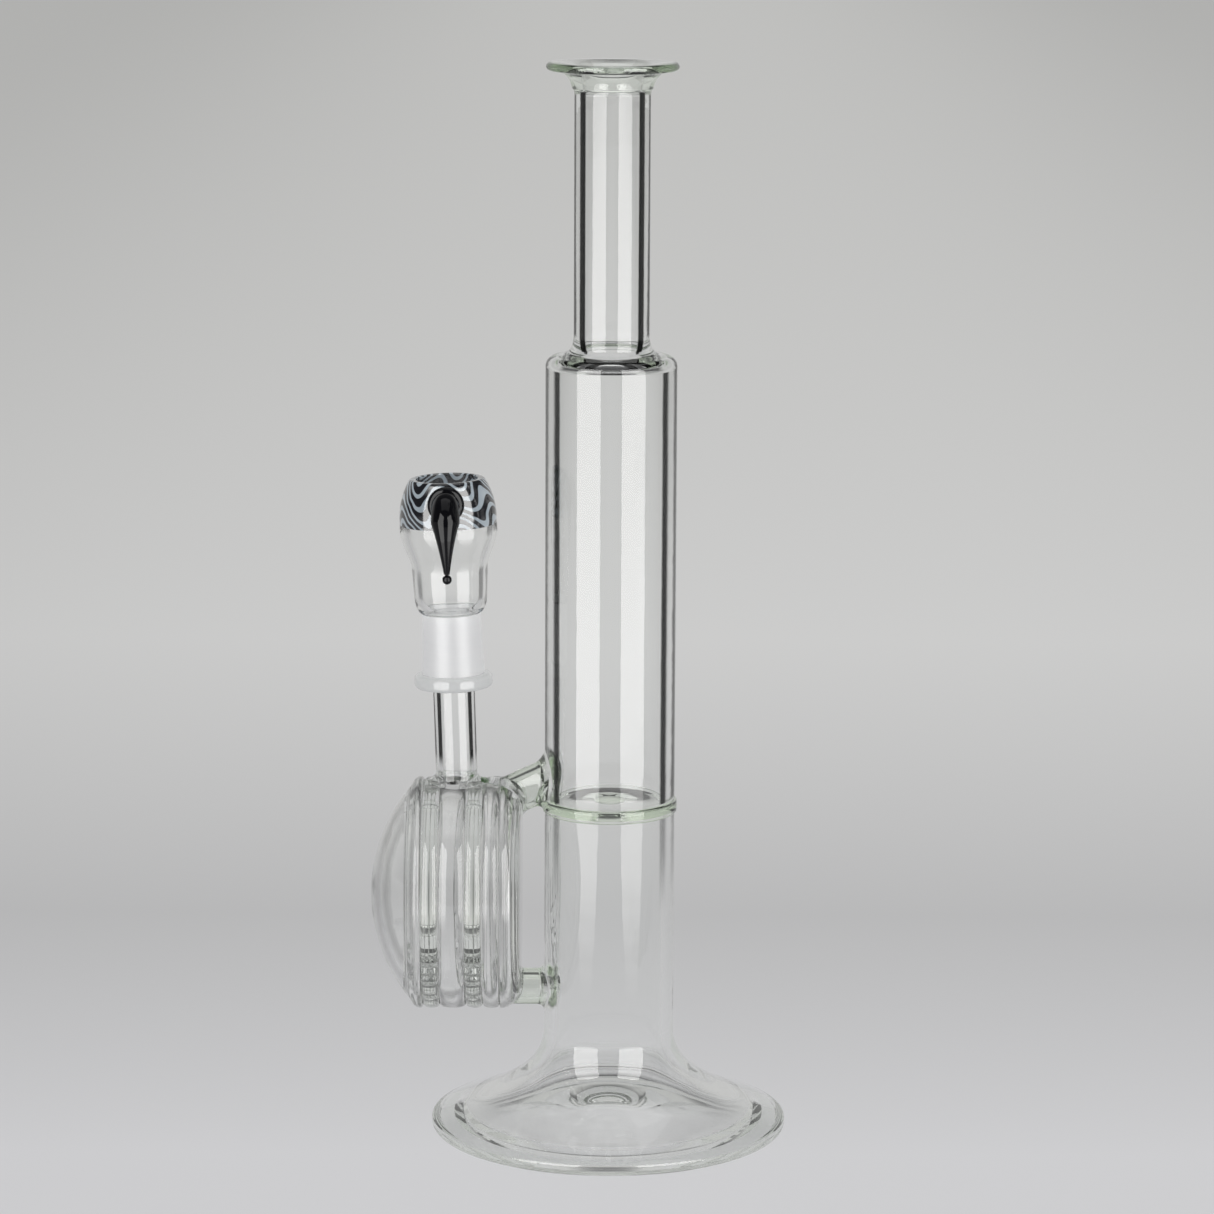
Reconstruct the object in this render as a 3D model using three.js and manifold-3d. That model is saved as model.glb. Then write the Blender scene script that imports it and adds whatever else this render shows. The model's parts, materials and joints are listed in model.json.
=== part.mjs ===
// A clear glass water pipe. A straight column stands on a flared foot. A slotted drum is welded to
// the column's left side by an uptake and a drain tube. The inlet stem on the drum ends in a ground
// joint, and a lift-off dome with a horn handle sits on it.
//
// Millimetres, +Z up, +X away from the drum. The horn points along -Y. The origin is at the centre
// of the foot's underside, on the column's axis. Welded neighbours meet face to face. Trimmed and
// leaning pieces keep CLEARANCE to each other.

import * as THREE from "three";
import { mergeVertices } from "three/addons/utils/BufferGeometryUtils.js";
import Module from "manifold-3d";

const wasm = await Module();
wasm.setup();

const CLEARANCE = 0.3;
const WIDE_SIDES = 32;
const MIDDLE_SIDES = 24;
const SMALL_SIDES = 16;
const CURVE_STEPS = 6;

// The column, from the foot to the lip. Heights are above the table.
const FOOT = {
  radius: 68.75,
  contactRadius: 63.5,
  floorRadius: 53.5,
  floorThickness: 4.5,
  floorStep: 5.5,
  beadTop: 5.25,
  beadTopInset: 0.75,
  beadMiddle: 3.5,
  beadBottom: 1,
  beadBottomInset: 1.5,
  height: 40,
  outerPulls: [[44.75, 14.5], [25, 23]],
  innerPulls: [[20.5, 21], [37, 10.5]],
};
const COLUMN = { radius: 25, bore: 20.5, ringBottom: 126.25, ringTop: 131.25, ringRadius: 25.9 };
const SHOULDER = {
  roundBottom: 298.5,
  roundRadius: 4.25,
  roundDegrees: 85,
  top: 303.5,
  insideBottom: 297.5,
  insideRadius: 1.5,
};
const PLATE = { holeRadius: 5, inset: 0.5 };
const NECK = {
  radius: 14.35,
  bore: 10.6,
  collarRadius: 17.9,
  collarTop: 310,
  collarPulls: [[15.55, 305], [14.55, 307]],
  throatBottom: 400.5,
  top: 403.5,
};
const LIP = {
  radius: 25,
  underside: 410,
  undersidePulls: [[16.5, 408.5], [19, 409.5]],
  edgeInset: 1.25,
  edgeMiddle: 411.75,
  top: 413.5,
  dishRadius: 16.5,
  dish: 412.5,
  mouthRadius: 12.5,
  mouth: 410,
  throatRadius: 15.25,
  throat: 407,
};

// The drum lies along X. Its stations are X positions, from the dome to the back plate.
const DRUM = {
  height: 93.5,
  radius: 44.75,
  bore: 40.25,
  domeApex: -92,
  domeWall: 3.5,
  domeRimRadius: 41.5,
  domeRim: -76.5,
  shoulderRadius: 44.25,
  shoulder: -74.5,
  leftDisc: -71.5,
  centreRing: -65,
  rightDisc: -55,
  rightRing: -48.5,
  backRound: -42,
  back: -34,
  backWall: 4.5,
};
const SLOT = { count: 9, spreadDegrees: 120, width: 2.4, inner: 27, outer: 38.5 };
const VENT_RADIUS = 5;
const VENT_OFFSET = 31;

// The two tubes between the drum and the column.
const UPTAKE = {
  radius: 7.8,
  bore: 5.3,
  x: -30,
  z: 135.5,
  slopeDegrees: 25,
  flare: 2.4,
  ends: [-38, -23.5],
  boreEnds: [-43, -18],
};
const DRAIN = { radius: 7, bore: 4.5, z: 57, flare: 2.6, ends: [-36, -23], boreEnds: [-40, -18] };
const FLARE_LENGTH = 4;
const FLARE_KNEE_SHARE = 0.3;

// The inlet leans away from the column. Heights here are along its axis, from the drum's top.
const INLET = {
  x: -58.75,
  z: 138.25,
  leanDegrees: 1.8,
  radius: 8,
  bore: 5.5,
  skirtRadius: 12,
  skirtDepth: 4,
  skirtHeight: 8,
  skirtPulls: [[9.5, 1.5], [8, 4]],
  top: 38.5,
};
const CHAMBER_HOLE = { x: -60, radius: 4.2, margin: 3 };
const MALE = { shoulder: 41, radius: 9.4, top: 62, topRadius: 8.35 };
const SOCKET = {
  rimBottom: 36.5,
  rimTop: 42,
  rimRadius: 15,
  rimEdge: 1.5,
  top: 65.25,
  radius: 12.05,
  topRadius: 11.25,
};
const BOWL = {
  top: 100,
  topRadius: 18.5,
  wall: 2.6,
  outside: [[11.25, 65.25], [12.5, 66.75], [13.6, 69.5], [14.5, 83], [16, 88.5], [18.5, 96], [18.5, 100]],
  inside: [[11, 70.5], [11.9, 83], [13.4, 88.5], [15.9, 96], [15.9, 100]],
};
const COLLAR = { pulls: [[19.25, 107], [16.7, 113.25]], mouthRadius: 14.2, top: 117.25 };
const PAD = { height: 109.75, radius: 7.25, front: 20.5 };
const HORN = {
  rootRadius: 5.4,
  tipRadius: 1.1,
  taperStart: 0.5,
  rootPull: 7,
  tipPull: [-32.5, 103.75],
  tip: [-30, 85.5],
  ballRadius: 1.8,
  sides: 12,
  steps: 12,
};

const clearGlass = { color: 0xe4ece8, roughness: 0.05, metalness: 0 };
const greenGlass = { color: 0xcfe3d2, roughness: 0.05, metalness: 0 };
const groundGlass = { color: 0xf2f5f5, roughness: 0.6, metalness: 0 };
const swirlGlass = { color: 0x7f8690, roughness: 0.12, metalness: 0 };
const blackGlass = { color: 0x08080a, roughness: 0.06, metalness: 0 };

const rig = new THREE.Group();

function add(parent, name, geometry, finish) {
  const mesh = new THREE.Mesh(geometry, new THREE.MeshStandardMaterial(finish));
  mesh.name = name;
  parent.add(mesh);
  return mesh;
}

function point(radius, height) {
  return new THREE.Vector2(radius, height);
}

function points(pairs) {
  return pairs.map((pair) => point(...pair));
}

function closed(profile) {
  return [...profile, profile[0].clone()];
}

// Points on an arc, from one angle to another in degrees, counted from the radius axis.
function arc(centre, radius, fromDegrees, toDegrees, steps) {
  const curve = [];
  for (let i = 0; i <= steps; i += 1) {
    const angle = THREE.MathUtils.degToRad(fromDegrees + ((toDegrees - fromDegrees) * i) / steps);
    curve.push(point(centre.x + radius * Math.cos(angle), centre.y + radius * Math.sin(angle)));
  }
  return curve;
}

// A smooth curve that leaves its start towards the first pull and comes in from the second.
function bend(start, pulls, end, steps) {
  return new THREE.CubicBezierCurve(start, ...points(pulls), end).getPoints(steps);
}

// A profile of (radius, height) points, revolved round Z. It runs anticlockwise.
function turned(profile, sides) {
  const geometry = new THREE.LatheGeometry(profile, sides);
  geometry.rotateX(Math.PI / 2);
  return geometry;
}

function tube(bore, radius, bottom, top, sides) {
  return turned(
    closed([point(bore, bottom), point(radius, bottom), point(radius, top), point(bore, top)]),
    sides,
  );
}

function toSolid(geometry) {
  const bare = geometry.clone();
  bare.deleteAttribute("normal");
  bare.deleteAttribute("uv");
  const merged = mergeVertices(bare);
  return new wasm.Manifold(
    new wasm.Mesh({
      numProp: 3,
      vertProperties: Float32Array.from(merged.attributes.position.array),
      triVerts: Uint32Array.from(merged.index.array),
    }),
  );
}

// The geometry with every cutter's volume taken away.
function cut(geometry, cutters) {
  let solid = toSolid(geometry);
  for (const cutter of cutters) {
    solid = solid.subtract(toSolid(cutter));
  }
  const mesh = solid.getMesh();
  const result = new THREE.BufferGeometry();
  result.setAttribute("position", new THREE.BufferAttribute(mesh.vertProperties, 3));
  result.setIndex(new THREE.BufferAttribute(mesh.triVerts, 1));
  return result;
}

// A round rod of the given radius from one point to another.
function rod(from, to, radius) {
  const along = to.clone().sub(from);
  const geometry = new THREE.CylinderGeometry(radius, radius, along.length(), SMALL_SIDES);
  const turn = new THREE.Quaternion().setFromUnitVectors(
    new THREE.Vector3(0, 1, 0),
    along.clone().normalize(),
  );
  geometry.applyQuaternion(turn);
  geometry.translate(...from.clone().add(to).multiplyScalar(0.5).toArray());
  return geometry;
}

function inFrameOf(group, geometry) {
  group.updateWorldMatrix(true, false);
  return geometry.clone().applyMatrix4(group.matrixWorld.clone().invert());
}

// A tube from one point to another whose ends spread into the walls they are welded to.
function flaredTube(from, to, size) {
  const length = from.distanceTo(to);
  const spread = size.radius + size.flare;
  const knee = size.radius + size.flare * FLARE_KNEE_SHARE;
  const profile = closed([
    point(size.bore, 0),
    point(spread, 0),
    point(knee, FLARE_LENGTH / 2),
    point(size.radius, FLARE_LENGTH),
    point(size.radius, length - FLARE_LENGTH),
    point(knee, length - FLARE_LENGTH / 2),
    point(spread, length),
    point(size.bore, length),
  ]);
  const geometry = turned(profile, SMALL_SIDES);
  const turn = new THREE.Quaternion().setFromUnitVectors(
    new THREE.Vector3(0, 0, 1),
    to.clone().sub(from).normalize(),
  );
  geometry.applyQuaternion(turn);
  geometry.translate(...from.toArray());
  return geometry;
}

// The column's outside, with its ring, grown by the clearance.
function columnEnvelope() {
  const radius = COLUMN.radius + CLEARANCE;
  const ring = COLUMN.ringRadius + CLEARANCE;
  const profile = [
    point(0, 0),
    point(radius, 0),
    point(radius, COLUMN.ringBottom - CLEARANCE),
    point(ring, COLUMN.ringBottom - CLEARANCE),
    point(ring, COLUMN.ringTop + CLEARANCE),
    point(radius, COLUMN.ringTop + CLEARANCE),
    point(radius, SHOULDER.top),
    point(0, SHOULDER.top),
  ];
  return turned(profile, WIDE_SIDES);
}

// The drum's outside, grown by the clearance, in the drum's own frame.
function drumEnvelope() {
  const round = DRUM.back - DRUM.backRound;
  const profile = [
    point(0, DRUM.domeRim),
    point(DRUM.radius + CLEARANCE, DRUM.domeRim),
    ...arc(point(DRUM.radius - round, DRUM.backRound), round + CLEARANCE, 0, 90, CURVE_STEPS),
    point(0, DRUM.back + CLEARANCE),
  ];
  return turned(profile, WIDE_SIDES);
}

function alongUptake(x) {
  const slope = Math.tan(THREE.MathUtils.degToRad(UPTAKE.slopeDegrees));
  return new THREE.Vector3(x, 0, UPTAKE.z + (x - UPTAKE.x) * slope);
}

function alongDrain(x) {
  return new THREE.Vector3(x, 0, DRAIN.z);
}

function footFlare() {
  const outside = bend(
    point(FOOT.radius - FOOT.beadTopInset, FOOT.beadTop),
    FOOT.outerPulls,
    point(COLUMN.radius, FOOT.height),
    CURVE_STEPS + 2,
  );
  const inside = bend(
    point(COLUMN.bore, FOOT.height),
    FOOT.innerPulls,
    point(FOOT.floorRadius, FOOT.floorStep),
    CURVE_STEPS,
  );
  return turned(
    closed([
      point(FOOT.floorRadius, 0),
      point(FOOT.contactRadius, 0),
      point(FOOT.radius - FOOT.beadBottomInset, FOOT.beadBottom),
      point(FOOT.radius, FOOT.beadMiddle),
      ...outside,
      ...inside,
    ]),
    WIDE_SIDES,
  );
}

function footFloor() {
  const top = FOOT.floorThickness;
  return turned(
    [point(0, 0), point(FOOT.floorRadius, 0), point(FOOT.floorRadius, top), point(0, top)],
    WIDE_SIDES,
  );
}

function dividerPlate() {
  const bottom = COLUMN.ringBottom + PLATE.inset;
  const top = COLUMN.ringTop - PLATE.inset;
  return tube(PLATE.holeRadius, COLUMN.bore, bottom, top, WIDE_SIDES);
}

function upperChamber() {
  const wall = COLUMN.radius - COLUMN.bore;
  const turn = SHOULDER.roundDegrees;
  const centre = point(COLUMN.radius - SHOULDER.roundRadius, SHOULDER.roundBottom);
  const insideCentre = point(COLUMN.bore - SHOULDER.insideRadius, SHOULDER.insideBottom);
  const outside = arc(centre, SHOULDER.roundRadius, 0, turn, CURVE_STEPS);
  const inside = arc(insideCentre, SHOULDER.insideRadius, turn, 0, CURVE_STEPS - 2);
  return turned(
    closed([
      point(COLUMN.bore, COLUMN.ringTop),
      point(COLUMN.radius, COLUMN.ringTop),
      ...outside,
      point(NECK.collarRadius, SHOULDER.top),
      point(NECK.bore, SHOULDER.top),
      point(NECK.bore, SHOULDER.top - wall),
      ...inside,
    ]),
    WIDE_SIDES,
  );
}

function neckTube() {
  const collar = bend(
    point(NECK.collarRadius, SHOULDER.top),
    NECK.collarPulls,
    point(NECK.radius, NECK.collarTop),
    CURVE_STEPS - 2,
  );
  return turned(
    closed([
      point(NECK.bore, SHOULDER.top),
      ...collar,
      point(NECK.radius, NECK.throatBottom),
      point(LIP.throatRadius, NECK.top),
      point(NECK.bore, NECK.top),
    ]),
    MIDDLE_SIDES,
  );
}

function lipFlange() {
  const underside = bend(
    point(LIP.throatRadius, NECK.top),
    LIP.undersidePulls,
    point(LIP.radius - LIP.edgeInset, LIP.underside),
    CURVE_STEPS - 2,
  );
  return turned(
    closed([
      point(NECK.bore, NECK.top),
      ...underside,
      point(LIP.radius, LIP.edgeMiddle),
      point(LIP.radius - LIP.edgeInset, LIP.top),
      point(LIP.dishRadius, LIP.dish),
      point(LIP.mouthRadius, LIP.mouth),
      point(NECK.bore, LIP.throat),
    ]),
    MIDDLE_SIDES,
  );
}

// A spherical cap: its outer and inner skins meet the left ring on one flat rim.
function drumDome() {
  const depth = DRUM.domeRim - DRUM.domeApex;
  const sphere = (DRUM.domeRimRadius ** 2 + depth ** 2) / (2 * depth);
  const centre = point(0, DRUM.domeApex + sphere);
  const innerSphere = sphere - DRUM.domeWall;
  const rimAngle = (radius) =>
    -THREE.MathUtils.radToDeg(Math.acos((centre.y - DRUM.domeRim) / radius)) + 90;
  const outside = arc(centre, sphere, -90, -rimAngle(sphere), CURVE_STEPS);
  const inside = arc(centre, innerSphere, -rimAngle(innerSphere), -90, CURVE_STEPS);
  outside[0].x = 0;
  outside.at(-1).y = DRUM.domeRim;
  inside[0].y = DRUM.domeRim;
  inside.at(-1).x = 0;
  return turned([...outside, ...inside], WIDE_SIDES);
}

function drumLeftRing() {
  return turned(
    closed([
      point(DRUM.domeRimRadius - DRUM.domeWall, DRUM.domeRim),
      point(DRUM.domeRimRadius, DRUM.domeRim),
      point(DRUM.shoulderRadius, DRUM.shoulder),
      point(DRUM.radius, DRUM.leftDisc),
      point(DRUM.bore, DRUM.leftDisc),
    ]),
    WIDE_SIDES,
  );
}

// A thick disc with radial slots across its lower half and one vent above the water.
function diffuserDisc(station, nextStation) {
  const outline = new THREE.Shape();
  outline.absarc(0, 0, DRUM.radius, 0, 2 * Math.PI, false);
  for (let i = 0; i < SLOT.count; i += 1) {
    const share = i / (SLOT.count - 1) - 0.5;
    const angle = THREE.MathUtils.degToRad(share * SLOT.spreadDegrees);
    const along = new THREE.Vector2(Math.cos(angle), Math.sin(angle));
    const across = new THREE.Vector2(-along.y, along.x).multiplyScalar(SLOT.width / 2);
    const inner = along.clone().multiplyScalar(SLOT.inner);
    const outer = along.clone().multiplyScalar(SLOT.outer);
    const corners = [
      inner.clone().sub(across),
      inner.clone().add(across),
      outer.clone().add(across),
      outer.clone().sub(across),
    ];
    outline.holes.push(new THREE.Path(corners));
  }
  const vent = new THREE.Path();
  vent.absarc(-VENT_OFFSET, 0, VENT_RADIUS, 0, 2 * Math.PI, true);
  outline.holes.push(vent);
  const geometry = new THREE.ExtrudeGeometry(outline, {
    depth: nextStation - station,
    bevelEnabled: false,
    curveSegments: WIDE_SIDES / 4,
  });
  geometry.translate(0, 0, station);
  return geometry;
}

function drumBackPlate() {
  const round = DRUM.back - DRUM.backRound;
  const centre = point(DRUM.radius - round, DRUM.backRound);
  return turned(
    [
      point(0, DRUM.back - DRUM.backWall),
      ...arc(centre, round - DRUM.backWall, 90, 0, CURVE_STEPS - 3),
      ...arc(centre, round, 0, 90, CURVE_STEPS - 2),
      point(0, DRUM.back),
    ],
    WIDE_SIDES,
  );
}

function inletStem() {
  const skirt = bend(
    point(INLET.skirtRadius, 0),
    INLET.skirtPulls,
    point(INLET.radius, INLET.skirtHeight),
    CURVE_STEPS - 2,
  );
  return turned(
    closed([
      point(INLET.bore, -INLET.skirtDepth),
      point(INLET.skirtRadius, -INLET.skirtDepth),
      ...skirt,
      point(INLET.radius, INLET.top),
      point(INLET.bore, INLET.top),
    ]),
    MIDDLE_SIDES,
  );
}

function maleJoint() {
  return turned(
    closed([
      point(INLET.bore, INLET.top),
      point(INLET.radius, INLET.top),
      point(MALE.radius, MALE.shoulder),
      point(MALE.topRadius, MALE.top),
      point(INLET.bore, MALE.top),
    ]),
    MIDDLE_SIDES,
  );
}

function socketBore(height) {
  const taper = (MALE.radius - MALE.topRadius) / (MALE.top - MALE.shoulder);
  return MALE.radius + CLEARANCE - (height - MALE.shoulder) * taper;
}

function domeSocket() {
  return turned(
    closed([
      point(socketBore(SOCKET.rimTop), SOCKET.rimTop),
      point(SOCKET.radius, SOCKET.rimTop),
      point(SOCKET.topRadius, SOCKET.top),
      point(socketBore(SOCKET.top), SOCKET.top),
    ]),
    MIDDLE_SIDES,
  );
}

function socketRim() {
  const bore = socketBore(SOCKET.rimBottom);
  return turned(
    closed([
      point(bore, SOCKET.rimBottom),
      point(SOCKET.rimRadius - SOCKET.rimEdge, SOCKET.rimBottom),
      point(SOCKET.rimRadius, SOCKET.rimBottom + SOCKET.rimEdge),
      point(SOCKET.rimRadius, SOCKET.rimTop - SOCKET.rimEdge),
      point(SOCKET.rimRadius - SOCKET.rimEdge, SOCKET.rimTop),
      point(socketBore(SOCKET.rimTop), SOCKET.rimTop),
    ]),
    MIDDLE_SIDES,
  );
}

function domeBowl() {
  const outside = points(BOWL.outside);
  const inside = points(BOWL.inside).reverse();
  return turned(
    closed([point(socketBore(SOCKET.top), SOCKET.top), ...outside, ...inside]),
    MIDDLE_SIDES,
  );
}

function collarOutside() {
  return bend(
    point(BOWL.topRadius, BOWL.top),
    COLLAR.pulls,
    point(COLLAR.mouthRadius, COLLAR.top),
    CURVE_STEPS,
  );
}

function swirlCollar() {
  const outside = collarOutside();
  const inside = outside.map((p) => point(p.x - BOWL.wall, p.y)).reverse();
  return turned(closed([...outside, ...inside]), MIDDLE_SIDES);
}

function handlePad() {
  const collar = collarOutside().map((p) => point(p.x + CLEARANCE, p.y));
  const envelope = turned([point(0, BOWL.top), ...collar, point(0, COLLAR.top)], MIDDLE_SIDES);
  const back = new THREE.Vector3(0, -COLLAR.mouthRadius, PAD.height);
  const front = new THREE.Vector3(0, -PAD.front, PAD.height);
  return cut(rod(back, front, PAD.radius), [envelope]);
}

function hornPath() {
  const root = new THREE.Vector3(0, -PAD.front - CLEARANCE, PAD.height);
  return new THREE.CubicBezierCurve3(
    root,
    new THREE.Vector3(0, root.y - HORN.rootPull, root.z),
    new THREE.Vector3(0, ...HORN.tipPull),
    new THREE.Vector3(0, ...HORN.tip),
  );
}

// The radius of the horn at a share of its length: full to the bend, then a long taper.
function hornRadius(share) {
  const taper = Math.max(0, (share - HORN.taperStart) / (1 - HORN.taperStart));
  return HORN.rootRadius + (HORN.tipRadius - HORN.rootRadius) * taper;
}

// A straight turned horn whose every point is then carried onto the bent path.
function handleHorn() {
  const profile = [point(0, 0)];
  for (let i = 0; i <= HORN.steps; i += 1) {
    profile.push(point(hornRadius(i / HORN.steps), i / HORN.steps));
  }
  profile.push(point(0, 1));
  const geometry = turned(profile, HORN.sides);
  const path = hornPath();
  const sideways = new THREE.Vector3(1, 0, 0);
  const positions = geometry.attributes.position;
  for (let i = 0; i < positions.count; i += 1) {
    const share = THREE.MathUtils.clamp(positions.getZ(i), 0, 1);
    const upwards = path.getTangentAt(share).cross(sideways);
    const place = path
      .getPointAt(share)
      .addScaledVector(sideways, positions.getX(i))
      .addScaledVector(upwards, positions.getY(i));
    positions.setXYZ(i, place.x, place.y, place.z);
  }
  return geometry;
}

function hornBall() {
  const [y, height] = HORN.tip;
  const geometry = new THREE.SphereGeometry(HORN.ballRadius, HORN.sides, HORN.sides / 2);
  geometry.translate(0, y, height - HORN.ballRadius - CLEARANCE);
  return geometry;
}

// The drum's own Z runs along the model's X, so its stations are heights in its own frame.
const drum = new THREE.Group();
drum.position.set(0, 0, DRUM.height);
drum.rotation.y = Math.PI / 2;
rig.add(drum);

const inlet = new THREE.Group();
inlet.position.set(INLET.x, 0, INLET.z);
inlet.rotation.y = -THREE.MathUtils.degToRad(INLET.leanDegrees);
rig.add(inlet);

const dome = new THREE.Group();
inlet.add(dome);

const uptakeBore = rod(...UPTAKE.boreEnds.map(alongUptake), UPTAKE.bore);
const drainBore = rod(...DRAIN.boreEnds.map(alongDrain), DRAIN.bore);
const chamberHole = rod(
  new THREE.Vector3(CHAMBER_HOLE.x, 0, DRUM.height + DRUM.bore - CHAMBER_HOLE.margin),
  new THREE.Vector3(CHAMBER_HOLE.x, 0, DRUM.height + DRUM.radius + CHAMBER_HOLE.margin),
  CHAMBER_HOLE.radius,
);
const drumSolid = drumEnvelope();
drum.updateWorldMatrix(true, false);
drumSolid.applyMatrix4(drum.matrixWorld);

add(rig, "foot_flare", footFlare(), clearGlass);
add(rig, "foot_floor", footFloor(), clearGlass);
add(
  rig,
  "lower_column",
  cut(tube(COLUMN.bore, COLUMN.radius, FOOT.height, COLUMN.ringBottom, WIDE_SIDES), [drainBore]),
  clearGlass,
);
add(
  rig,
  "divider_ring",
  tube(COLUMN.bore, COLUMN.ringRadius, COLUMN.ringBottom, COLUMN.ringTop, WIDE_SIDES),
  greenGlass,
);
add(rig, "divider_plate", dividerPlate(), greenGlass);
add(rig, "upper_chamber", cut(upperChamber(), [uptakeBore]), clearGlass);
add(rig, "neck_tube", neckTube(), clearGlass);
add(rig, "lip_flange", lipFlange(), greenGlass);

add(drum, "drum_dome", drumDome(), clearGlass);
add(drum, "drum_left_ring", drumLeftRing(), greenGlass);
add(drum, "diffuser_disc_left", diffuserDisc(DRUM.leftDisc, DRUM.centreRing), greenGlass);
add(
  drum,
  "drum_centre_ring",
  cut(tube(DRUM.bore, DRUM.radius, DRUM.centreRing, DRUM.rightDisc, WIDE_SIDES), [
    inFrameOf(drum, chamberHole),
  ]),
  clearGlass,
);
add(drum, "diffuser_disc_right", diffuserDisc(DRUM.rightDisc, DRUM.rightRing), greenGlass);
add(
  drum,
  "drum_right_ring",
  cut(tube(DRUM.bore, DRUM.radius, DRUM.rightRing, DRUM.backRound, WIDE_SIDES), [
    inFrameOf(drum, uptakeBore),
  ]),
  clearGlass,
);
add(
  drum,
  "drum_back_plate",
  cut(drumBackPlate(), [inFrameOf(drum, uptakeBore), inFrameOf(drum, drainBore)]),
  clearGlass,
);

add(
  rig,
  "uptake_tube",
  cut(flaredTube(...UPTAKE.ends.map(alongUptake), UPTAKE), [columnEnvelope(), drumSolid]),
  clearGlass,
);
add(
  rig,
  "drain_tube",
  cut(flaredTube(...DRAIN.ends.map(alongDrain), DRAIN), [columnEnvelope(), drumSolid]),
  clearGlass,
);

add(inlet, "inlet_stem", cut(inletStem(), [inFrameOf(inlet, drumSolid)]), clearGlass);
add(inlet, "ground_joint", maleJoint(), groundGlass);
add(dome, "socket_rim", socketRim(), groundGlass);
add(dome, "dome_socket", domeSocket(), groundGlass);
add(dome, "dome_bowl", domeBowl(), clearGlass);
add(dome, "swirl_collar", swirlCollar(), swirlGlass);
add(dome, "handle_pad", handlePad(), blackGlass);
add(dome, "handle_horn", handleHorn(), blackGlass);
add(dome, "horn_tip", hornBall(), blackGlass);

export default rig;
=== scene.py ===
import json
import math

import bmesh
import bpy
from mathutils import Matrix, Vector
from mathutils.bvhtree import BVHTree


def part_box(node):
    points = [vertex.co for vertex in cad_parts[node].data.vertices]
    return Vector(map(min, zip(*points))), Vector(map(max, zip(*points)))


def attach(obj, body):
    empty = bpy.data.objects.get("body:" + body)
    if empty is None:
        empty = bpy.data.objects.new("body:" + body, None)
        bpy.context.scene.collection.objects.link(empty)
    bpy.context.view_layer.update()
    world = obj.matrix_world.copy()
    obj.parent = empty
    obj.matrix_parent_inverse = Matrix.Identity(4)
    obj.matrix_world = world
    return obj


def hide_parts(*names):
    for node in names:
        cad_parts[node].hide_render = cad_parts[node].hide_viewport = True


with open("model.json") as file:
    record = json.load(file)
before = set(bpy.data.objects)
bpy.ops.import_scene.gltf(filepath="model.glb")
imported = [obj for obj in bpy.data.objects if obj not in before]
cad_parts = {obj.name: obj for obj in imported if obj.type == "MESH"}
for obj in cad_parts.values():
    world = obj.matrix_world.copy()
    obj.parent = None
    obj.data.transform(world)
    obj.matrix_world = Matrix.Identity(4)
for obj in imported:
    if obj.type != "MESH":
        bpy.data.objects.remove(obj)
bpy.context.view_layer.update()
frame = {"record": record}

# ----------------------------------------------------------
# The studio: a pale seamless floor that runs out to a pale wall of light, two tall softboxes at
# the front left and right, and a long lens looking a little down. Nothing here is the object.
# ----------------------------------------------------------

MM = 0.001
CAMERA_DISTANCE = 1731.5 * MM
CAMERA_HEIGHT = 533.0 * MM
CAMERA_SIDE = -1.3 * MM
CAMERA_PITCH = 10.7
CAMERA_ROLL = 0.25
LENS_MM = 136.7
FLOOR_REACH = 12.0
SOFTBOX_AZIMUTH = 39.5
SOFTBOX_DISTANCE = 0.60
SOFTBOX_WIDTH = 0.47
SOFTBOX_HEIGHT = 0.90
SOFTBOX_POWER = 8.3
SOFTBOX_COLOUR = (1.0, 0.995, 0.985)
SPILL_NEAR = (0.20, 0.035)
SPILL_FAR = (0.60, 0.47)
SPILL_FULL = 0.48
SPILL_STRENGTH = 4.5
SPILL_LIFT = 1.0 * MM
TOP_LIGHT_POWER = 6.0
TOP_LIGHT_SIZE = 1.6
TOP_LIGHT_PLACE = (0, 0.2, 1.9)
ROOM_COLOUR = (0.565, 0.565, 0.560)
DIM_COLOUR = (0.09, 0.09, 0.092)
DIM_RISES = (0.27, 0.52)
DIM_ENDS = (0.86, 0.93)
BACKDROP_STARTS = (0.25, 0.65)
FILL_STRENGTH = 0.82
GLASS_BOUNCES = 40
MIRROR_BOUNCES = 16
WELD_BOUNCES = 48


class Value:
    """A shader value. Arithmetic on it adds Math nodes."""

    def __init__(self, maker, socket):
        self.maker = maker
        self.socket = socket

    def _math(self, operation, *values, clamp=False):
        settings = {"operation": operation, "use_clamp": clamp}
        return self.maker.node("ShaderNodeMath", settings, dict(enumerate(values)))[0]

    def __add__(self, other):
        return self._math("ADD", self, other)

    def __radd__(self, other):
        return self._math("ADD", other, self)

    def __sub__(self, other):
        return self._math("SUBTRACT", self, other)

    def __rsub__(self, other):
        return self._math("SUBTRACT", other, self)

    def __mul__(self, other):
        return self._math("MULTIPLY", self, other)

    def __rmul__(self, other):
        return self._math("MULTIPLY", other, self)

    def __truediv__(self, other):
        return self._math("DIVIDE", self, other)

    def over(self, other):
        return self._math("GREATER_THAN", self, other)

    def clamped(self):
        return self._math("ADD", self, 0.0, clamp=True)

    def clamped_to(self, low, high):
        return self._math("MINIMUM", self._math("MAXIMUM", self, low), high)

    def size(self):
        return self._math("ABSOLUTE", self)


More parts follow.
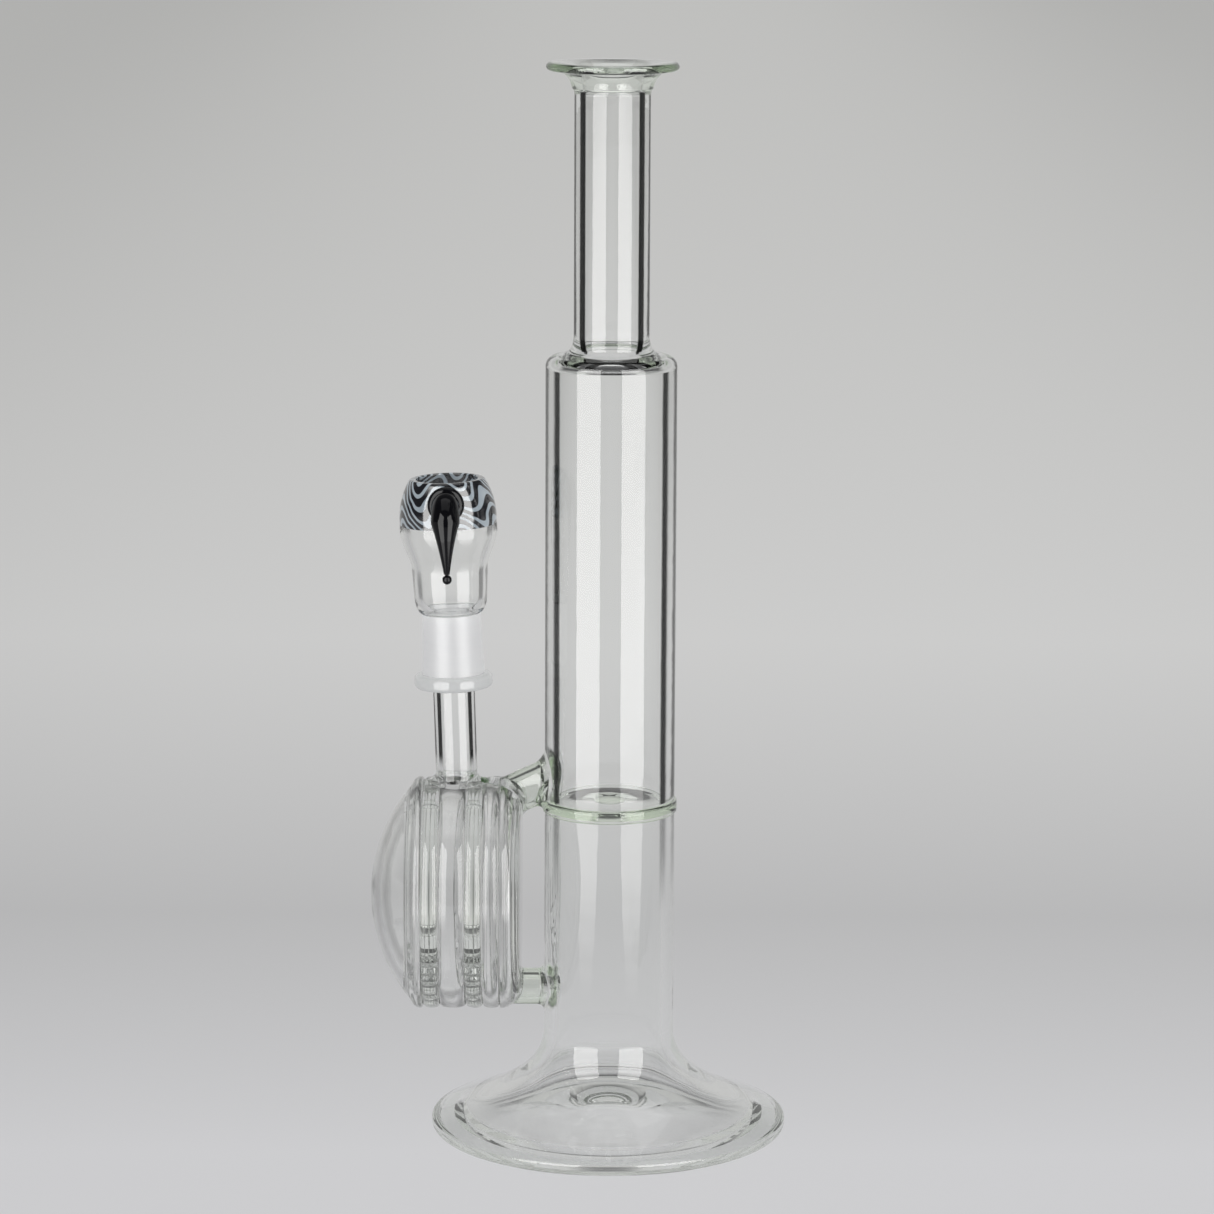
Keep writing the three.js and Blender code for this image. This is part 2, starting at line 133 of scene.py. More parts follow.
class Finish:
    """The node tree of a material, or of the world, with one method that adds any node."""

    def __init__(self, name, world=None):
        self.owner = world or bpy.data.materials.new(name)
        self.owner.use_nodes = True
        self.tree = self.owner.node_tree
        self.tree.nodes.clear()

    def node(self, kind, settings, inputs):
        """Adds a node: its settings first, then its sockets' values or links."""
        made = self.tree.nodes.new(kind)
        for key, value in settings.items():
            if key == "stops":
                ramp = made.color_ramp
                while len(ramp.elements) < len(value):
                    ramp.elements.new(0.5)
                for element, (place, colour) in zip(ramp.elements, value):
                    element.position = place
                    element.color = (*colour, 1.0)
            else:
                setattr(made, key, value)
        for key, value in inputs.items():
            if isinstance(value, Value):
                self.tree.links.new(value.socket, made.inputs[key])
            else:
                made.inputs[key].default_value = value
        return [Value(self, socket) for socket in made.outputs if socket.enabled]

    def mix_colour(self, share, first, second):
        """first where share is 0, second where it is 1. Both are colours."""
        return self.node("ShaderNodeMix", {"data_type": "RGBA"}, {0: share, 6: first, 7: second})[0]

    def between(self, value, low, high):
        """0 below low, 1 above high, and smooth in between."""
        settings = {"interpolation_type": "SMOOTHSTEP"}
        return self.node("ShaderNodeMapRange", settings, {"Value": value, 1: low, 2: high})[0]

    def skin(self, inputs):
        return self.node("ShaderNodeBsdfPrincipled", {}, inputs)[0]

    def blend(self, share, first, second):
        """first where share is 0, second where it is 1. Both are surfaces."""
        return self.node("ShaderNodeMixShader", {}, {0: share, 1: first, 2: second})[0]

    def apart(self, vector):
        return self.node("ShaderNodeSeparateXYZ", {}, {0: vector})

    def stretched(self, place, scale):
        return self.node("ShaderNodeMapping", {}, {"Vector": place, "Scale": scale})[0]

    def place(self):
        return self.node("ShaderNodeTexCoord", {}, {})[3]

    def noise(self, place, scale, detail=3.0):
        inputs = {"Vector": place, "Scale": scale, "Detail": detail}
        return self.node("ShaderNodeTexNoise", {}, inputs)[0]

    def bump(self, height, distance, strength=1.0):
        inputs = {"Height": height, "Distance": distance, "Strength": strength}
        return self.node("ShaderNodeBump", {}, inputs)[0]

    def finish(self, surface, volume=None):
        sockets = {"Surface": surface}
        if volume is not None:
            sockets["Volume"] = volume
        self.node("ShaderNodeOutputMaterial", {}, sockets)
        return self.owner


PAPER_PAINTED_TONES = (
    (0.06, (0.760, 0.760, 0.776)),
    (0.30, (0.597, 0.597, 0.602)),
    (0.52, (0.745, 0.745, 0.740)),
    (0.90, (0.655, 0.655, 0.642)),
)
PAPER_START = 0.1
PAPER_END = 50.0
POOL_MIDDLE = 0.10
POOL_REACH = (0.10, 1.10)
POOL_FALL = 0.16


def floor_finish():
    """Matt paper, swept up far behind, with painted shade: a soft grey band of painted shade lies a
    little behind the object, and the paper is painted darker to either side.
    """
    made = Finish("studio_paper")
    place = made.place()
    apart = made.apart(place)
    grain = made.noise(place, 900.0)
    back = (apart[1] + PAPER_START).clamped_to(0.0, PAPER_END)
    # Painted shade: going back, the paper's colour goes light, then a grey band, then light and a
    # little greyer far off, in place of how the studio light falls on it.
    painted_tones = made.node("ShaderNodeValToRGB", {"stops": PAPER_PAINTED_TONES}, {0: back / (back + 1.0)})[0]
    # Painted shade: the paper is painted darker to either side of a pool of light.
    aside = (apart[0] - POOL_MIDDLE).size()
    shade = 1.0 - made.between(aside, *POOL_REACH) * POOL_FALL
    paper = made.mix_colour(shade, (0.0, 0.0, 0.0, 1.0), painted_tones)
    surface = made.skin({
        "Base Color": paper,
        "Roughness": 0.8 + grain * 0.1,
        "Specular IOR Level": 0.0,
        "Normal": made.bump(grain, 0.0001, 0.2),
    })
    return made.finish(surface)


def spill_finish():
    """Painted light: a glowing sheet on the paper that stands in for the softbox light on it, seen
    only in reflections. It dies away towards the object.
    """
    made = Finish("softbox_spill")
    place = made.place()
    away = made.node("ShaderNodeVectorMath", {"operation": "LENGTH"}, {0: place})[-1]
    fade = made.between(away, SPILL_NEAR[0], SPILL_FULL)
    lit = {"Color": (*SOFTBOX_COLOUR, 1), "Strength": SPILL_STRENGTH}
    glow = made.node("ShaderNodeEmission", {}, lit)[0]
    clear = made.node("ShaderNodeBsdfTransparent", {}, {})[0]
    return made.finish(made.blend(fade, clear, glow))


def room():
    """The world: a pale room to look through the glass at, dim for what mirrors in its skin."""
    world = bpy.data.worlds.new("studio_world")
    bpy.context.scene.world = world
    made = Finish("studio_world", world)
    path = made.node("ShaderNodeLightPath", {}, {})
    apart = made.apart(made.place())
    high = made.between(apart[2], *DIM_RISES) - made.between(apart[2], *DIM_ENDS)
    seen = made.mix_colour(high, (*ROOM_COLOUR, 1), (*DIM_COLOUR, 1))
    plain = made.mix_colour(path[0], seen, (*ROOM_COLOUR, 1))
    backdrop = made.between(apart[1], *BACKDROP_STARTS)
    behind = made.mix_colour(backdrop * (1.0 - high), (*DIM_COLOUR, 1), (*ROOM_COLOUR, 1))
    mirrored = made.mix_colour(path[3], plain, behind)
    lit = made.mix_colour(path[2], mirrored, (FILL_STRENGTH, FILL_STRENGTH, FILL_STRENGTH, 1))
    glow = made.node("ShaderNodeBackground", {}, {"Color": lit, "Strength": 1.0})[0]
    made.node("ShaderNodeOutputWorld", {}, {"Surface": glow})


def studio():
    scene = bpy.context.scene
    scene.view_settings.view_transform = "Standard"
    scene.cycles.max_bounces = GLASS_BOUNCES
    scene.cycles.transmission_bounces = GLASS_BOUNCES
    scene.cycles.glossy_bounces = MIRROR_BOUNCES
    scene.cycles.transparent_max_bounces = WELD_BOUNCES
    scene.cycles.caustics_refractive = False
    scene.cycles.caustics_reflective = False
    scene.cycles.use_denoising = True
    scene.cycles.denoiser = "OPENIMAGEDENOISE"

    room()
    mesh = bpy.data.meshes.new("studio_floor")
    reach = FLOOR_REACH
    corners = [(-reach, -reach, 0), (reach, -reach, 0), (reach, reach, 0), (-reach, reach, 0)]
    mesh.from_pydata(corners, [], [(0, 1, 2, 3)])
    mesh.materials.append(floor_finish())
    floor = bpy.data.objects.new("studio_floor", mesh)
    scene.collection.objects.link(floor)

    spill = spill_finish()
    for name, side in (("softbox_left", -1), ("softbox_right", 1)):
        turn = math.radians(SOFTBOX_AZIMUTH) * side
        lamp = bpy.data.lights.new(name, "AREA")
        lamp.shape = "RECTANGLE"
        lamp.size = SOFTBOX_WIDTH
        lamp.size_y = SOFTBOX_HEIGHT
        lamp.energy = SOFTBOX_POWER
        lamp.color = SOFTBOX_COLOUR
        box = bpy.data.objects.new(name, lamp)
        away = SOFTBOX_DISTANCE
        box.location = (math.sin(turn) * away, -math.cos(turn) * away, SOFTBOX_HEIGHT / 2)
        box.rotation_euler = (math.radians(90), 0, turn)
        box.visible_camera = False
        box.visible_diffuse = False
        box.visible_transmission = False
        scene.collection.objects.link(box)

        # Painted light: a glowing sheet on the floor before each softbox, seen only in reflections.
        corners = []
        for (out, width), order in ((SPILL_NEAR, (-1, 1)), (SPILL_FAR, (1, -1))):
            corners += [Vector((width / 2 * k, -out, SPILL_LIFT)) for k in order]
        mesh = bpy.data.meshes.new(name + "_spill")
        mesh.from_pydata([Matrix.Rotation(turn, 3, "Z") @ c for c in corners], [], [(0, 1, 2, 3)])
        mesh.materials.append(spill)
        patch = bpy.data.objects.new(name + "_spill", mesh)
        patch.visible_camera = False
        patch.visible_diffuse = False
        patch.visible_transmission = False
        patch.visible_shadow = False
        scene.collection.objects.link(patch)

    lamp = bpy.data.lights.new("top_light", "AREA")
    lamp.size = TOP_LIGHT_SIZE
    lamp.energy = TOP_LIGHT_POWER
    top = bpy.data.objects.new("top_light", lamp)
    top.location = TOP_LIGHT_PLACE
    top.visible_camera = False
    top.visible_diffuse = False
    scene.collection.objects.link(top)

    lens = bpy.data.cameras.new("camera")
    lens.lens = LENS_MM
    camera = bpy.data.objects.new("camera", lens)
    camera.location = (CAMERA_SIDE, -CAMERA_DISTANCE, CAMERA_HEIGHT)
    look = Matrix.Rotation(math.radians(90 - CAMERA_PITCH), 4, "X")
    roll = Matrix.Rotation(math.radians(CAMERA_ROLL), 4, "Z")
    camera.rotation_euler = (look @ roll).to_euler()
    scene.collection.objects.link(camera)
    scene.camera = camera


studio()

# ----------------------------------------------------------
# The foot: pressed from clear borosilicate, flared out of the column and fire-polished to a round
# bead at its rim. A round floor is melted in under it, and the two become one piece of glass.
# ----------------------------------------------------------

WIDE_STEPS = 128
WELD_GAP = 0.02
CREASE = math.radians(32)
SAME_SPOT = 1e-6
GLASS_IOR = 1.47
FOOT_CONTACT = 63.5
FOOT_FLOOR_RADIUS = 53.5
FOOT_STEP = 5.5
FOOT_BEAD_INSET = 0.75
FOOT_BEAD_WIDEST = 3.3
FOOT_BEAD_TOP = 5.25
FLARE_PULLS = ((44.75, 14.5), 23.0)
HOLLOW_PULLS = (21.0, (37.0, 10.5))
SEAM_RISE = 0.35
FLOOR_RINGS = ((11.0, 0.9), (12.5, 0.5))
FLOOR_DIMPLE = (12.2, 14.0, 0.5)
COLUMN_WALL = 4.5


def span(node, axis):
    """A CAD node's lowest and highest place along an axis, in millimetres."""
    low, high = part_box(node)
    return low[axis] / MM, high[axis] / MM


TUBE_WAVES = (18, 18, 60)
DRUM_WAVES = (300, 12, 12)
GLASS_GREEN = (0.70, 0.89, 0.58, 1)
# The colour and the facing values of a band of painted shade on glass walls.
EDGE_SHADE_COLOUR = (0.012, 0.014, 0.013, 1)
EDGE_SHADE_STARTS = (0.225, 0.25)
EDGE_SHADE_FADE = 0.04
UPRIGHT_ENDS = (0.05, 0.15)


def open_at_welds(made, glass):
    """Glass that isn't seen at its weld faces, where two pieces have melted into one."""
    weld = made.node("ShaderNodeAttribute", {"attribute_name": "weld"}, {})[2]
    gone = made.node("ShaderNodeBsdfTransparent", {}, {})[0]
    return made.blend(weld.over(0.5), glass, gone)


def painted_edge_shade(made, place, strength, edge_shade_to, above, fade, tilted):
    """Painted shade: how dark a wall is painted where it is seen at a steep angle, in place of the
    dark that real glass shows where light turns back in it.

    It ends at the facing value edge_shade_to. It shows on upright walls, unless tilted walls show
    it too, and only above a height, over which it fades in.
    """
    facing = made.node("ShaderNodeLayerWeight", {}, {"Blend": 0.5})[1]
    skin = made.node("ShaderNodeNewGeometry", {}, {})
    band = made.between(facing, *EDGE_SHADE_STARTS)
    band = band - made.between(facing, edge_shade_to, edge_shade_to + EDGE_SHADE_FADE)
    if not tilted:
        tilt = made.apart(skin[1])[2].size()
        level = made.apart(place)[2]
        band = band * (1.0 - made.between(tilt, *UPRIGHT_ENDS))
        band = band * made.between(level, above, above + fade)
    return (band * skin[6] * strength).clamped()


def clear_glass(
    name, green, edge_shade_strength=0.0, edge_shade_to=0.28, waves=TUBE_WAVES, depth=0.0006, above=0.0, fade=0.035,
    tilted=False,
):
    """Clear lathe-worked glass. Its depth tints it green, and its skin has faint waves. Given a
    strength, its walls carry a band of painted shade.
    """
    made = Finish(name)
    place = made.place()
    stretched = made.stretched(place, waves)
    ripple = made.noise(stretched, 1.0, 2.0)
    dust = made.noise(place, 260.0)
    glass = made.skin({
        "Base Color": made.mix_colour(dust, (0.985, 0.99, 0.985, 1), (1.0, 1.0, 1.0, 1)),
        "Roughness": dust * 0.012,
        "IOR": GLASS_IOR,
        "Transmission Weight": 1.0,
        "Normal": made.bump(ripple, depth, 0.35),
    })
    # Painted shade: a dark skin mixed into the glass where its walls are seen at a steep angle.
    if edge_shade_strength:
        dark = {"Base Color": EDGE_SHADE_COLOUR, "Roughness": 0.4, "Specular IOR Level": 0.0}
        share = painted_edge_shade(made, place, edge_shade_strength, edge_shade_to, above, fade, tilted)
        glass = made.blend(share, glass, made.skin(dark))
    absorbed = {"Color": GLASS_GREEN, "Density": green}
    tint = made.node("ShaderNodeVolumeAbsorption", {}, absorbed)[0]
    return made.finish(open_at_welds(made, glass), tint)


# After the green depth, the numbers give the strength and the end of the painted shade on the
# walls.
CLEAR = clear_glass("clear_glass", 1.1)
DOME_CLEAR = clear_glass("drum_dome_glass", 1.1, 0.4, 0.232, tilted=True)
TUBE = clear_glass("clear_tube", 1.6, 0.95)
NECK_TUBE = clear_glass("clear_neck_tube", 1.6, 0.98, 0.35)
BOWL_TUBE = clear_glass("clear_bowl", 1.6, 0.5, 0.30)
LOW_TUBE = clear_glass("clear_low_tube", 1.6, 0.45, above=0.085)
WELDED = clear_glass("weld_glass", 15.0)
GREEN_WELD = clear_glass("green_weld_glass", 42.0)
DISC = clear_glass("disc_glass", 1.5, 0.2, 0.26, DRUM_WAVES, 0.0002, tilted=True)
DRUM_CLEAR = clear_glass("drum_glass", 1.0, 0.35, 0.26, DRUM_WAVES, 0.0002, tilted=True)
STEM_TUBE = clear_glass("clear_stem_tube", 1.6, 0.97, 0.40, above=0.143, fade=0.006)


def arc(centre, radius, start, end, steps=8):
    """Points on an arc between two angles in degrees. Angle 0 points away from the axis."""
    turns = [math.radians(start + (end - start) * i / steps) for i in range(steps + 1)]
    return [(centre[0] + radius * math.cos(t), centre[1] + radius * math.sin(t)) for t in turns]


def bezier(a, b, c, d, steps=16):
    """Points on a cubic curve from a to d, drawn towards b and c."""
    points = []
    for i in range(steps + 1):
        t = i / steps
        weights = ((1 - t) ** 3, 3 * t * (1 - t) ** 2, 3 * t * t * (1 - t), t**3)
        ends = (a, b, c, d)
        points.append(tuple(sum(w * p[k] for w, p in zip(weights, ends)) for k in (0, 1)))
    return points


def make_piece(name, shape, material, node, slot="clear_glass", body="rig"):
    """A named glass piece from its shape in millimetres. It replaces one CAD node."""
    verts, faces, welds = shape
    mesh = bpy.data.meshes.new(name)
    mesh.from_pydata([Vector(v) * MM for v in verts], [], faces)
    flags = mesh.attributes.new("weld", "FLOAT", "FACE")
    flags.data.foreach_set("value", [float(w) for w in welds])
    mesh.materials.append(material)
    made = bmesh.new()
    made.from_mesh(mesh)
    for face in made.faces:
        face.smooth = True
    for edge in made.edges:
        edge.smooth = edge.is_manifold and edge.calc_face_angle(0.0) < CREASE
    made.to_mesh(mesh)
    made.free()
    piece = bpy.data.objects.new(name, mesh)
    piece.visible_shadow = False
    piece.visible_diffuse = slot not in ("clear_glass", "weld_glass")
    bpy.context.scene.collection.objects.link(piece)
    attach(piece, body)
    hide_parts(node)


def turned(runs, steps=WIDE_STEPS, place=None):
    """Revolves a closed outline round Z. Each run is (is a weld, its points), anticlockwise.

    Returns the points, the faces and a weld flag for each face.
    """
    place = place or Matrix.Identity(4)
    outline, marks = [], []
    for is_weld, points in runs:
        for point in points:
            if outline and math.dist(outline[-1], point) < SAME_SPOT:
                continue
            outline.append(point)
            marks.append(is_weld)
    if math.dist(outline[0], outline[-1]) < SAME_SPOT:
        outline.pop()
        marks[0] = marks.pop()
    verts, rings = [], []
    for radius, height in outline:
        if radius < SAME_SPOT:
            rings.append([len(verts)] * steps)
            verts.append(place @ Vector((0, 0, height)))
            continue
        rings.append(list(range(len(verts), len(verts) + steps)))
        for i in range(steps):
            turn = 2 * math.pi * i / steps
            spot = Vector((radius * math.cos(turn), radius * math.sin(turn), height))
            verts.append(place @ spot)
    faces, welds = [], []
    for k, lower in enumerate(rings):
        after = (k + 1) % len(rings)
        if len(set(lower)) == 1 and len(set(rings[after])) == 1:
            continue
        for i in range(steps):
            j = (i + 1) % steps
            corners = [lower[i], lower[j], rings[after][j], rings[after][i]]
            faces.append(list(dict.fromkeys(corners)))
            welds.append(marks[after])
    return verts, faces, welds


X, Y, Z = 0, 1, 2
foot_radius = span("foot_flare", X)[1]
foot_top = span("foot_flare", Z)[1]
floor_top = span("foot_floor", Z)[1]
column_radius = span("lower_column", X)[1]
column_bore = column_radius - COLUMN_WALL


def foot():
    bead = (foot_radius - FOOT_BEAD_INSET, FOOT_BEAD_TOP)
    widest = (foot_radius, FOOT_BEAD_WIDEST)
    flare, flare_end = FLARE_PULLS
    hollow_start, hollow = HOLLOW_PULLS
    seam = FOOT_FLOOR_RADIUS
    outside = [
        *bezier((FOOT_CONTACT, 0), (67.2, 0), (foot_radius, 1.3), widest),
        *bezier(widest, (foot_radius, 4.4), (68.7, 4.95), bead, 6),
        *bezier(bead, flare, (column_radius, flare_end), (column_radius, foot_top), 40),
    ]
    inside = bezier(
        (column_bore, foot_top), (column_bore, hollow_start), hollow, (seam, FOOT_STEP), 32
    )
    runs = [
        (False, [(seam, SEAM_RISE), (seam + 1, 0.2), (seam + 4, 0)]),
        (False, outside),
        (True, [(column_bore, foot_top)]),
        (False, inside),
        (False, [(seam, floor_top)]),
        (True, [(seam, SEAM_RISE)]),
    ]
    make_piece("foot_flare_glass", turned(runs), CLEAR, "foot_flare")
    edge = seam - WELD_GAP
    ring_in, ring_out = FLOOR_RINGS
    dimple, dimple_edge, dimple_depth = FLOOR_DIMPLE
    low = floor_top - dimple_depth
    runs = [
        (False, [(0, ring_in[1]), ring_in, ring_out, (edge - 8, SEAM_RISE), (edge, SEAM_RISE)]),
        (True, [(edge, floor_top)]),
        (False, [(dimple_edge, floor_top), (dimple, low), (0, low)]),
    ]
    make_piece("foot_floor_glass", turned(runs), CLEAR, "foot_floor")


foot()

# ----------------------------------------------------------
# The column: two lengths of 50 mm tube, welded to either side of the divider. The divider is a
# thick plate with a drain hole. Its edge stands proud of the tubes as a rounded ring.
# ----------------------------------------------------------

RING_ROUND = 1.1
DRAIN_HOLE = 5.0
HOLE_ROUND = 1.2
BIT_STEPS = 48

ring_low, ring_high = span("divider_ring", Z)
ring_radius = span("divider_ring", X)[1]
plate_low, plate_high = span("divider_plate", Z)
chamber_top = span("upper_chamber", Z)[1]


def loose_solid(name, verts, faces):
    mesh = bpy.data.meshes.new(name)
    mesh.from_pydata([Vector(v) for v in verts], [], faces)
    solid = bpy.data.objects.new(name, mesh)
    bpy.context.scene.collection.objects.link(solid)
    return solid


def carved(shape, tools):
    """A shape with solids cut out of it. Each tool is (its points, its faces)."""
    verts, faces, welds = shape
    blank = loose_solid("blank", verts, faces)
    flags = blank.data.attributes.new("weld", "FLOAT", "FACE")
    flags.data.foreach_set("value", [float(w) for w in welds])
    bits = [loose_solid("bit", *tool) for tool in tools]
    for bit in bits:
        cut = blank.modifiers.new("cut", "BOOLEAN")
        cut.operation = "DIFFERENCE"
        cut.solver = "EXACT"
        cut.object = bit
    depsgraph = bpy.context.evaluated_depsgraph_get()
    result = bpy.data.meshes.new_from_object(blank.evaluated_get(depsgraph), depsgraph=depsgraph)
    for spent in (blank, *bits):
        bpy.data.objects.remove(spent)
    return (
        [v.co.copy() for v in result.vertices],
        [list(p.vertices) for p in result.polygons],
        [f.value > 0.5 for f in result.attributes["weld"].data],
    )


def rod(place, radius, length):
    """A plain round rod that stands on its place, as (its points, its faces)."""
    runs = [(False, [(0, 0), (radius, 0), (radius, length), (0, length)])]
    return turned(runs, BIT_STEPS, place)[:2]


def drilled(shape, drills):
    """A shape with round holes bored through it. Each drill is (from, to, radius)."""
    bits = []
    for start, end, radius in drills:
        along = Vector(end) - Vector(start)
        turn = along.to_track_quat("Z", "Y").to_matrix().to_4x4()
        bits.append(rod(Matrix.Translation(Vector(start)) @ turn, radius, along.length))
    return carved(shape, bits)


def pipe_runs(bore, radius, low, high):
    """A plain tube with welds at both ends."""
    low, high = low + WELD_GAP, high - WELD_GAP
    return [
        (True, [(bore, low), (radius, low)]),
        (False, [(radius, high)]),
        (True, [(bore, high)]),
        (False, [(bore, low)]),
    ]


UPTAKE_AT = (-30.0, 135.5)
UPTAKE_SLOPE = math.radians(25)
UPTAKE_BORE = 5.3
DRAIN_HEIGHT = sum(span("drain_tube", Z)) / 2
DRAIN_BORE = 4.5
UPTAKE_COLUMN_DRILL = (-29.0, -16.0)
DRAIN_COLUMN_DRILL = (-30.0, -16.0)
UPTAKE_DRUM_DRILL = (-43.5, -28.0)
DRAIN_DRUM_DRILL = (-41.0, -28.0)


def on_uptake(x):
    """A point on the uptake tube's middle line."""
    return Vector((x, 0, UPTAKE_AT[1] + (x - UPTAKE_AT[0]) * math.tan(UPTAKE_SLOPE)))


def on_drain(x):
    """A point on the drain tube's middle line."""
    return Vector((x, 0, DRAIN_HEIGHT))


def column():
    lower = turned(pipe_runs(column_bore, column_radius, foot_top, ring_low))
    lower = drilled(lower, [(*map(on_drain, DRAIN_COLUMN_DRILL), DRAIN_BORE)])
    make_piece("lower_column_glass", lower, LOW_TUBE, "lower_column")

    rise = RING_ROUND
    bulge = ring_radius - column_radius
    runs = [
        (True, [(column_bore, ring_low), (column_radius, ring_low)]),
        (False, bezier(
            (column_radius, ring_low), (column_radius + bulge, ring_low + 0.2),
            (ring_radius, ring_low + rise * 0.6), (ring_radius, ring_low + rise * 1.6), 8)),
        (False, bezier(
            (ring_radius, ring_high - rise * 1.6), (ring_radius, ring_high - rise * 0.6),
            (column_radius + bulge, ring_high - 0.2), (column_radius, ring_high), 8)),
        (True, [(column_bore, ring_high)]),
        (False, [(column_bore, plate_high)]),
        (True, [(column_bore, plate_low)]),
        (False, [(column_bore, ring_low)]),
    ]
    make_piece("divider_ring_glass", turned(runs), WELDED, "divider_ring", "weld_glass")

    edge = column_bore - WELD_GAP
    hole = (DRAIN_HOLE + HOLE_ROUND, (plate_low + plate_high) / 2)
    runs = [
        (False, [(hole[0], plate_low), (edge, plate_low)]),
        (True, [(edge, plate_high)]),
        (False, [(hole[0], plate_high)]),
        (False, bezier(
            (hole[0], plate_high), (DRAIN_HOLE, plate_high), (DRAIN_HOLE, plate_low),
            (hole[0], plate_low), 12)),
    ]
    make_piece("divider_plate_glass", turned(runs), WELDED, "divider_plate", "weld_glass")


column()

# ----------------------------------------------------------
# The upper chamber: the tube's end is drawn in to a round shoulder, and the neck tube stands on
# it in a melted collar. At the top the neck is flared and flattened to a wide lip.
# ----------------------------------------------------------

SHOULDER_ROUND = 4.25
SHOULDER_LOW = 298.5
SHOULDER_TURN = 82
INSIDE_ROUND = 1.5
INSIDE_LOW = 297.5
NECK_RADIUS = 14.35
NECK_BORE = 10.6
COLLAR_RADIUS = 17.9
THROAT_RADIUS = 15.25
LIP_UNDERSIDE = 410.0
LIP_ROUND = 1.55

neck_top = span("neck_tube", Z)[1]
lip_top = span("lip_flange", Z)[1]
lip_radius = span("lip_flange", X)[1]


def upper_column():
    centre = (column_radius - SHOULDER_ROUND, SHOULDER_LOW)
    shoulder = arc(centre, SHOULDER_ROUND, 0, SHOULDER_TURN, 16)
    slope_end = shoulder[-1]
    low = ring_high + WELD_GAP
    inner = (column_bore - INSIDE_ROUND, INSIDE_LOW)
    runs = [
        (True, [(column_bore, low), (column_radius, low)]),
        (False, shoulder),
        (False, bezier(
            slope_end, (slope_end[0] - 1.2, slope_end[1] + 0.25),
            (COLLAR_RADIUS + 0.5, chamber_top - 0.1), (COLLAR_RADIUS, chamber_top), 6)),
        (True, [(NECK_BORE, chamber_top)]),
        (False, bezier(
            (NECK_BORE, chamber_top), (NECK_BORE, chamber_top - 2.8),
            (NECK_BORE + 0.8, chamber_top - 4.0), (NECK_BORE + 3.0, chamber_top - 4.35), 8)),
        (False, arc(inner, INSIDE_ROUND, 86, 0, 10)),
        (False, [(column_bore, low)]),
    ]
    shape = drilled(turned(runs), [(*map(on_uptake, UPTAKE_COLUMN_DRILL), UPTAKE_BORE)])
    make_piece("upper_chamber_glass", shape, TUBE, "upper_chamber")

    low = chamber_top + WELD_GAP
    high = neck_top - WELD_GAP
    runs = [
        (True, [(NECK_BORE, low), (COLLAR_RADIUS, low)]),
        (False, bezier(
            (COLLAR_RADIUS, low), (COLLAR_RADIUS - 2.2, low + 0.7),
            (NECK_RADIUS + 0.3, low + 2.6), (NECK_RADIUS, low + 6.5), 14)),
        (False, [(NECK_RADIUS, high - 2.4)]),
        (False, bezier(
            (NECK_RADIUS, high - 2.4), (NECK_RADIUS, high - 1.4),
            (THROAT_RADIUS - 0.5, high - 0.7), (THROAT_RADIUS, high), 6)),
        (True, [(NECK_BORE, high)]),
        (False, [(NECK_BORE, low)]),
    ]
    make_piece("neck_tube_glass", turned(runs), NECK_TUBE, "neck_tube")

    rim = (lip_radius - LIP_ROUND, LIP_UNDERSIDE + LIP_ROUND + 0.1)
    runs = [
        (True, [(NECK_BORE, neck_top), (THROAT_RADIUS, neck_top)]),
        (False, bezier(
            (THROAT_RADIUS, neck_top), (16.6, neck_top + 4.6), (18.0, LIP_UNDERSIDE - 0.6),
            (rim[0] - 1.0, LIP_UNDERSIDE + 0.05), 14)),
        (False, arc(rim, LIP_ROUND, -80, 85, 12)),
        (False, bezier(
            (rim[0] - 0.4, lip_top - 0.25), (21, lip_top - 0.35), (16.5, lip_top - 0.4),
            (13.6, lip_top - 2.6), 10)),
        (False, bezier(
            (13.6, lip_top - 2.6), (11.6, lip_top - 4.2), (NECK_BORE, lip_top - 6),
            (NECK_BORE, neck_top), 10)),
    ]
    make_piece("lip_flange_glass", turned(runs), WELDED, "lip_flange", "weld_glass")


upper_column()

# ----------------------------------------------------------
# The drum: rings and thick slotted discs melted together in a row along X, with a blown dome on
# the left and a round-edged plate on the right. Each melt leaves a fine groove round the drum.
# ----------------------------------------------------------

GROOVE = 1.5
SWELL_STEPS = 24
DRUM_WALL = 4.5
DOME_WALL = 3.5
DOME_RIM_RADIUS = 41.5
BACK_ROUND = 8.0
SLOT_COUNT = 9
SLOT_SPREAD = 120.0
SLOT_WIDTH = 2.4
SLOT_ENDS = (27.0, 38.5)
VENT_OFFSET = 31.0
VENT_RADIUS = 5.0

drum_height = sum(span("drum_centre_ring", Z)) / 2
drum_radius = span("drum_centre_ring", Y)[1]
drum_bore = drum_radius - DRUM_WALL
DRUM_PLACE = Matrix.Translation((0, 0, drum_height)) @ Matrix.Rotation(math.pi / 2, 4, "Y")


def grooved(low, high):
    """A drum ring's outer skin: it swells between the grooves that its two welds leave."""
    middle, half = (low + high) / 2, (high - low) / 2
    turns = [math.pi * i / SWELL_STEPS for i in range(SWELL_STEPS + 1)]
    return [
        (drum_radius - GROOVE * (1 - math.sin(t)), middle - half * math.cos(t)) for t in turns
    ]


def drum_ring(name, node, material, slot, drills=()):
    low, high = span(node, X)
    low, high = low + WELD_GAP, high - WELD_GAP
    runs = [
        (True, [(drum_bore, low), (drum_radius - GROOVE, low)]),
        (False, grooved(low, high)),
        (True, [(drum_bore, high)]),
        (False, [(drum_bore, low)]),
    ]
    shape = turned(runs, WIDE_STEPS, DRUM_PLACE)
    if drills:
        shape = drilled(shape, drills)
    make_piece(name, shape, material, node, slot)


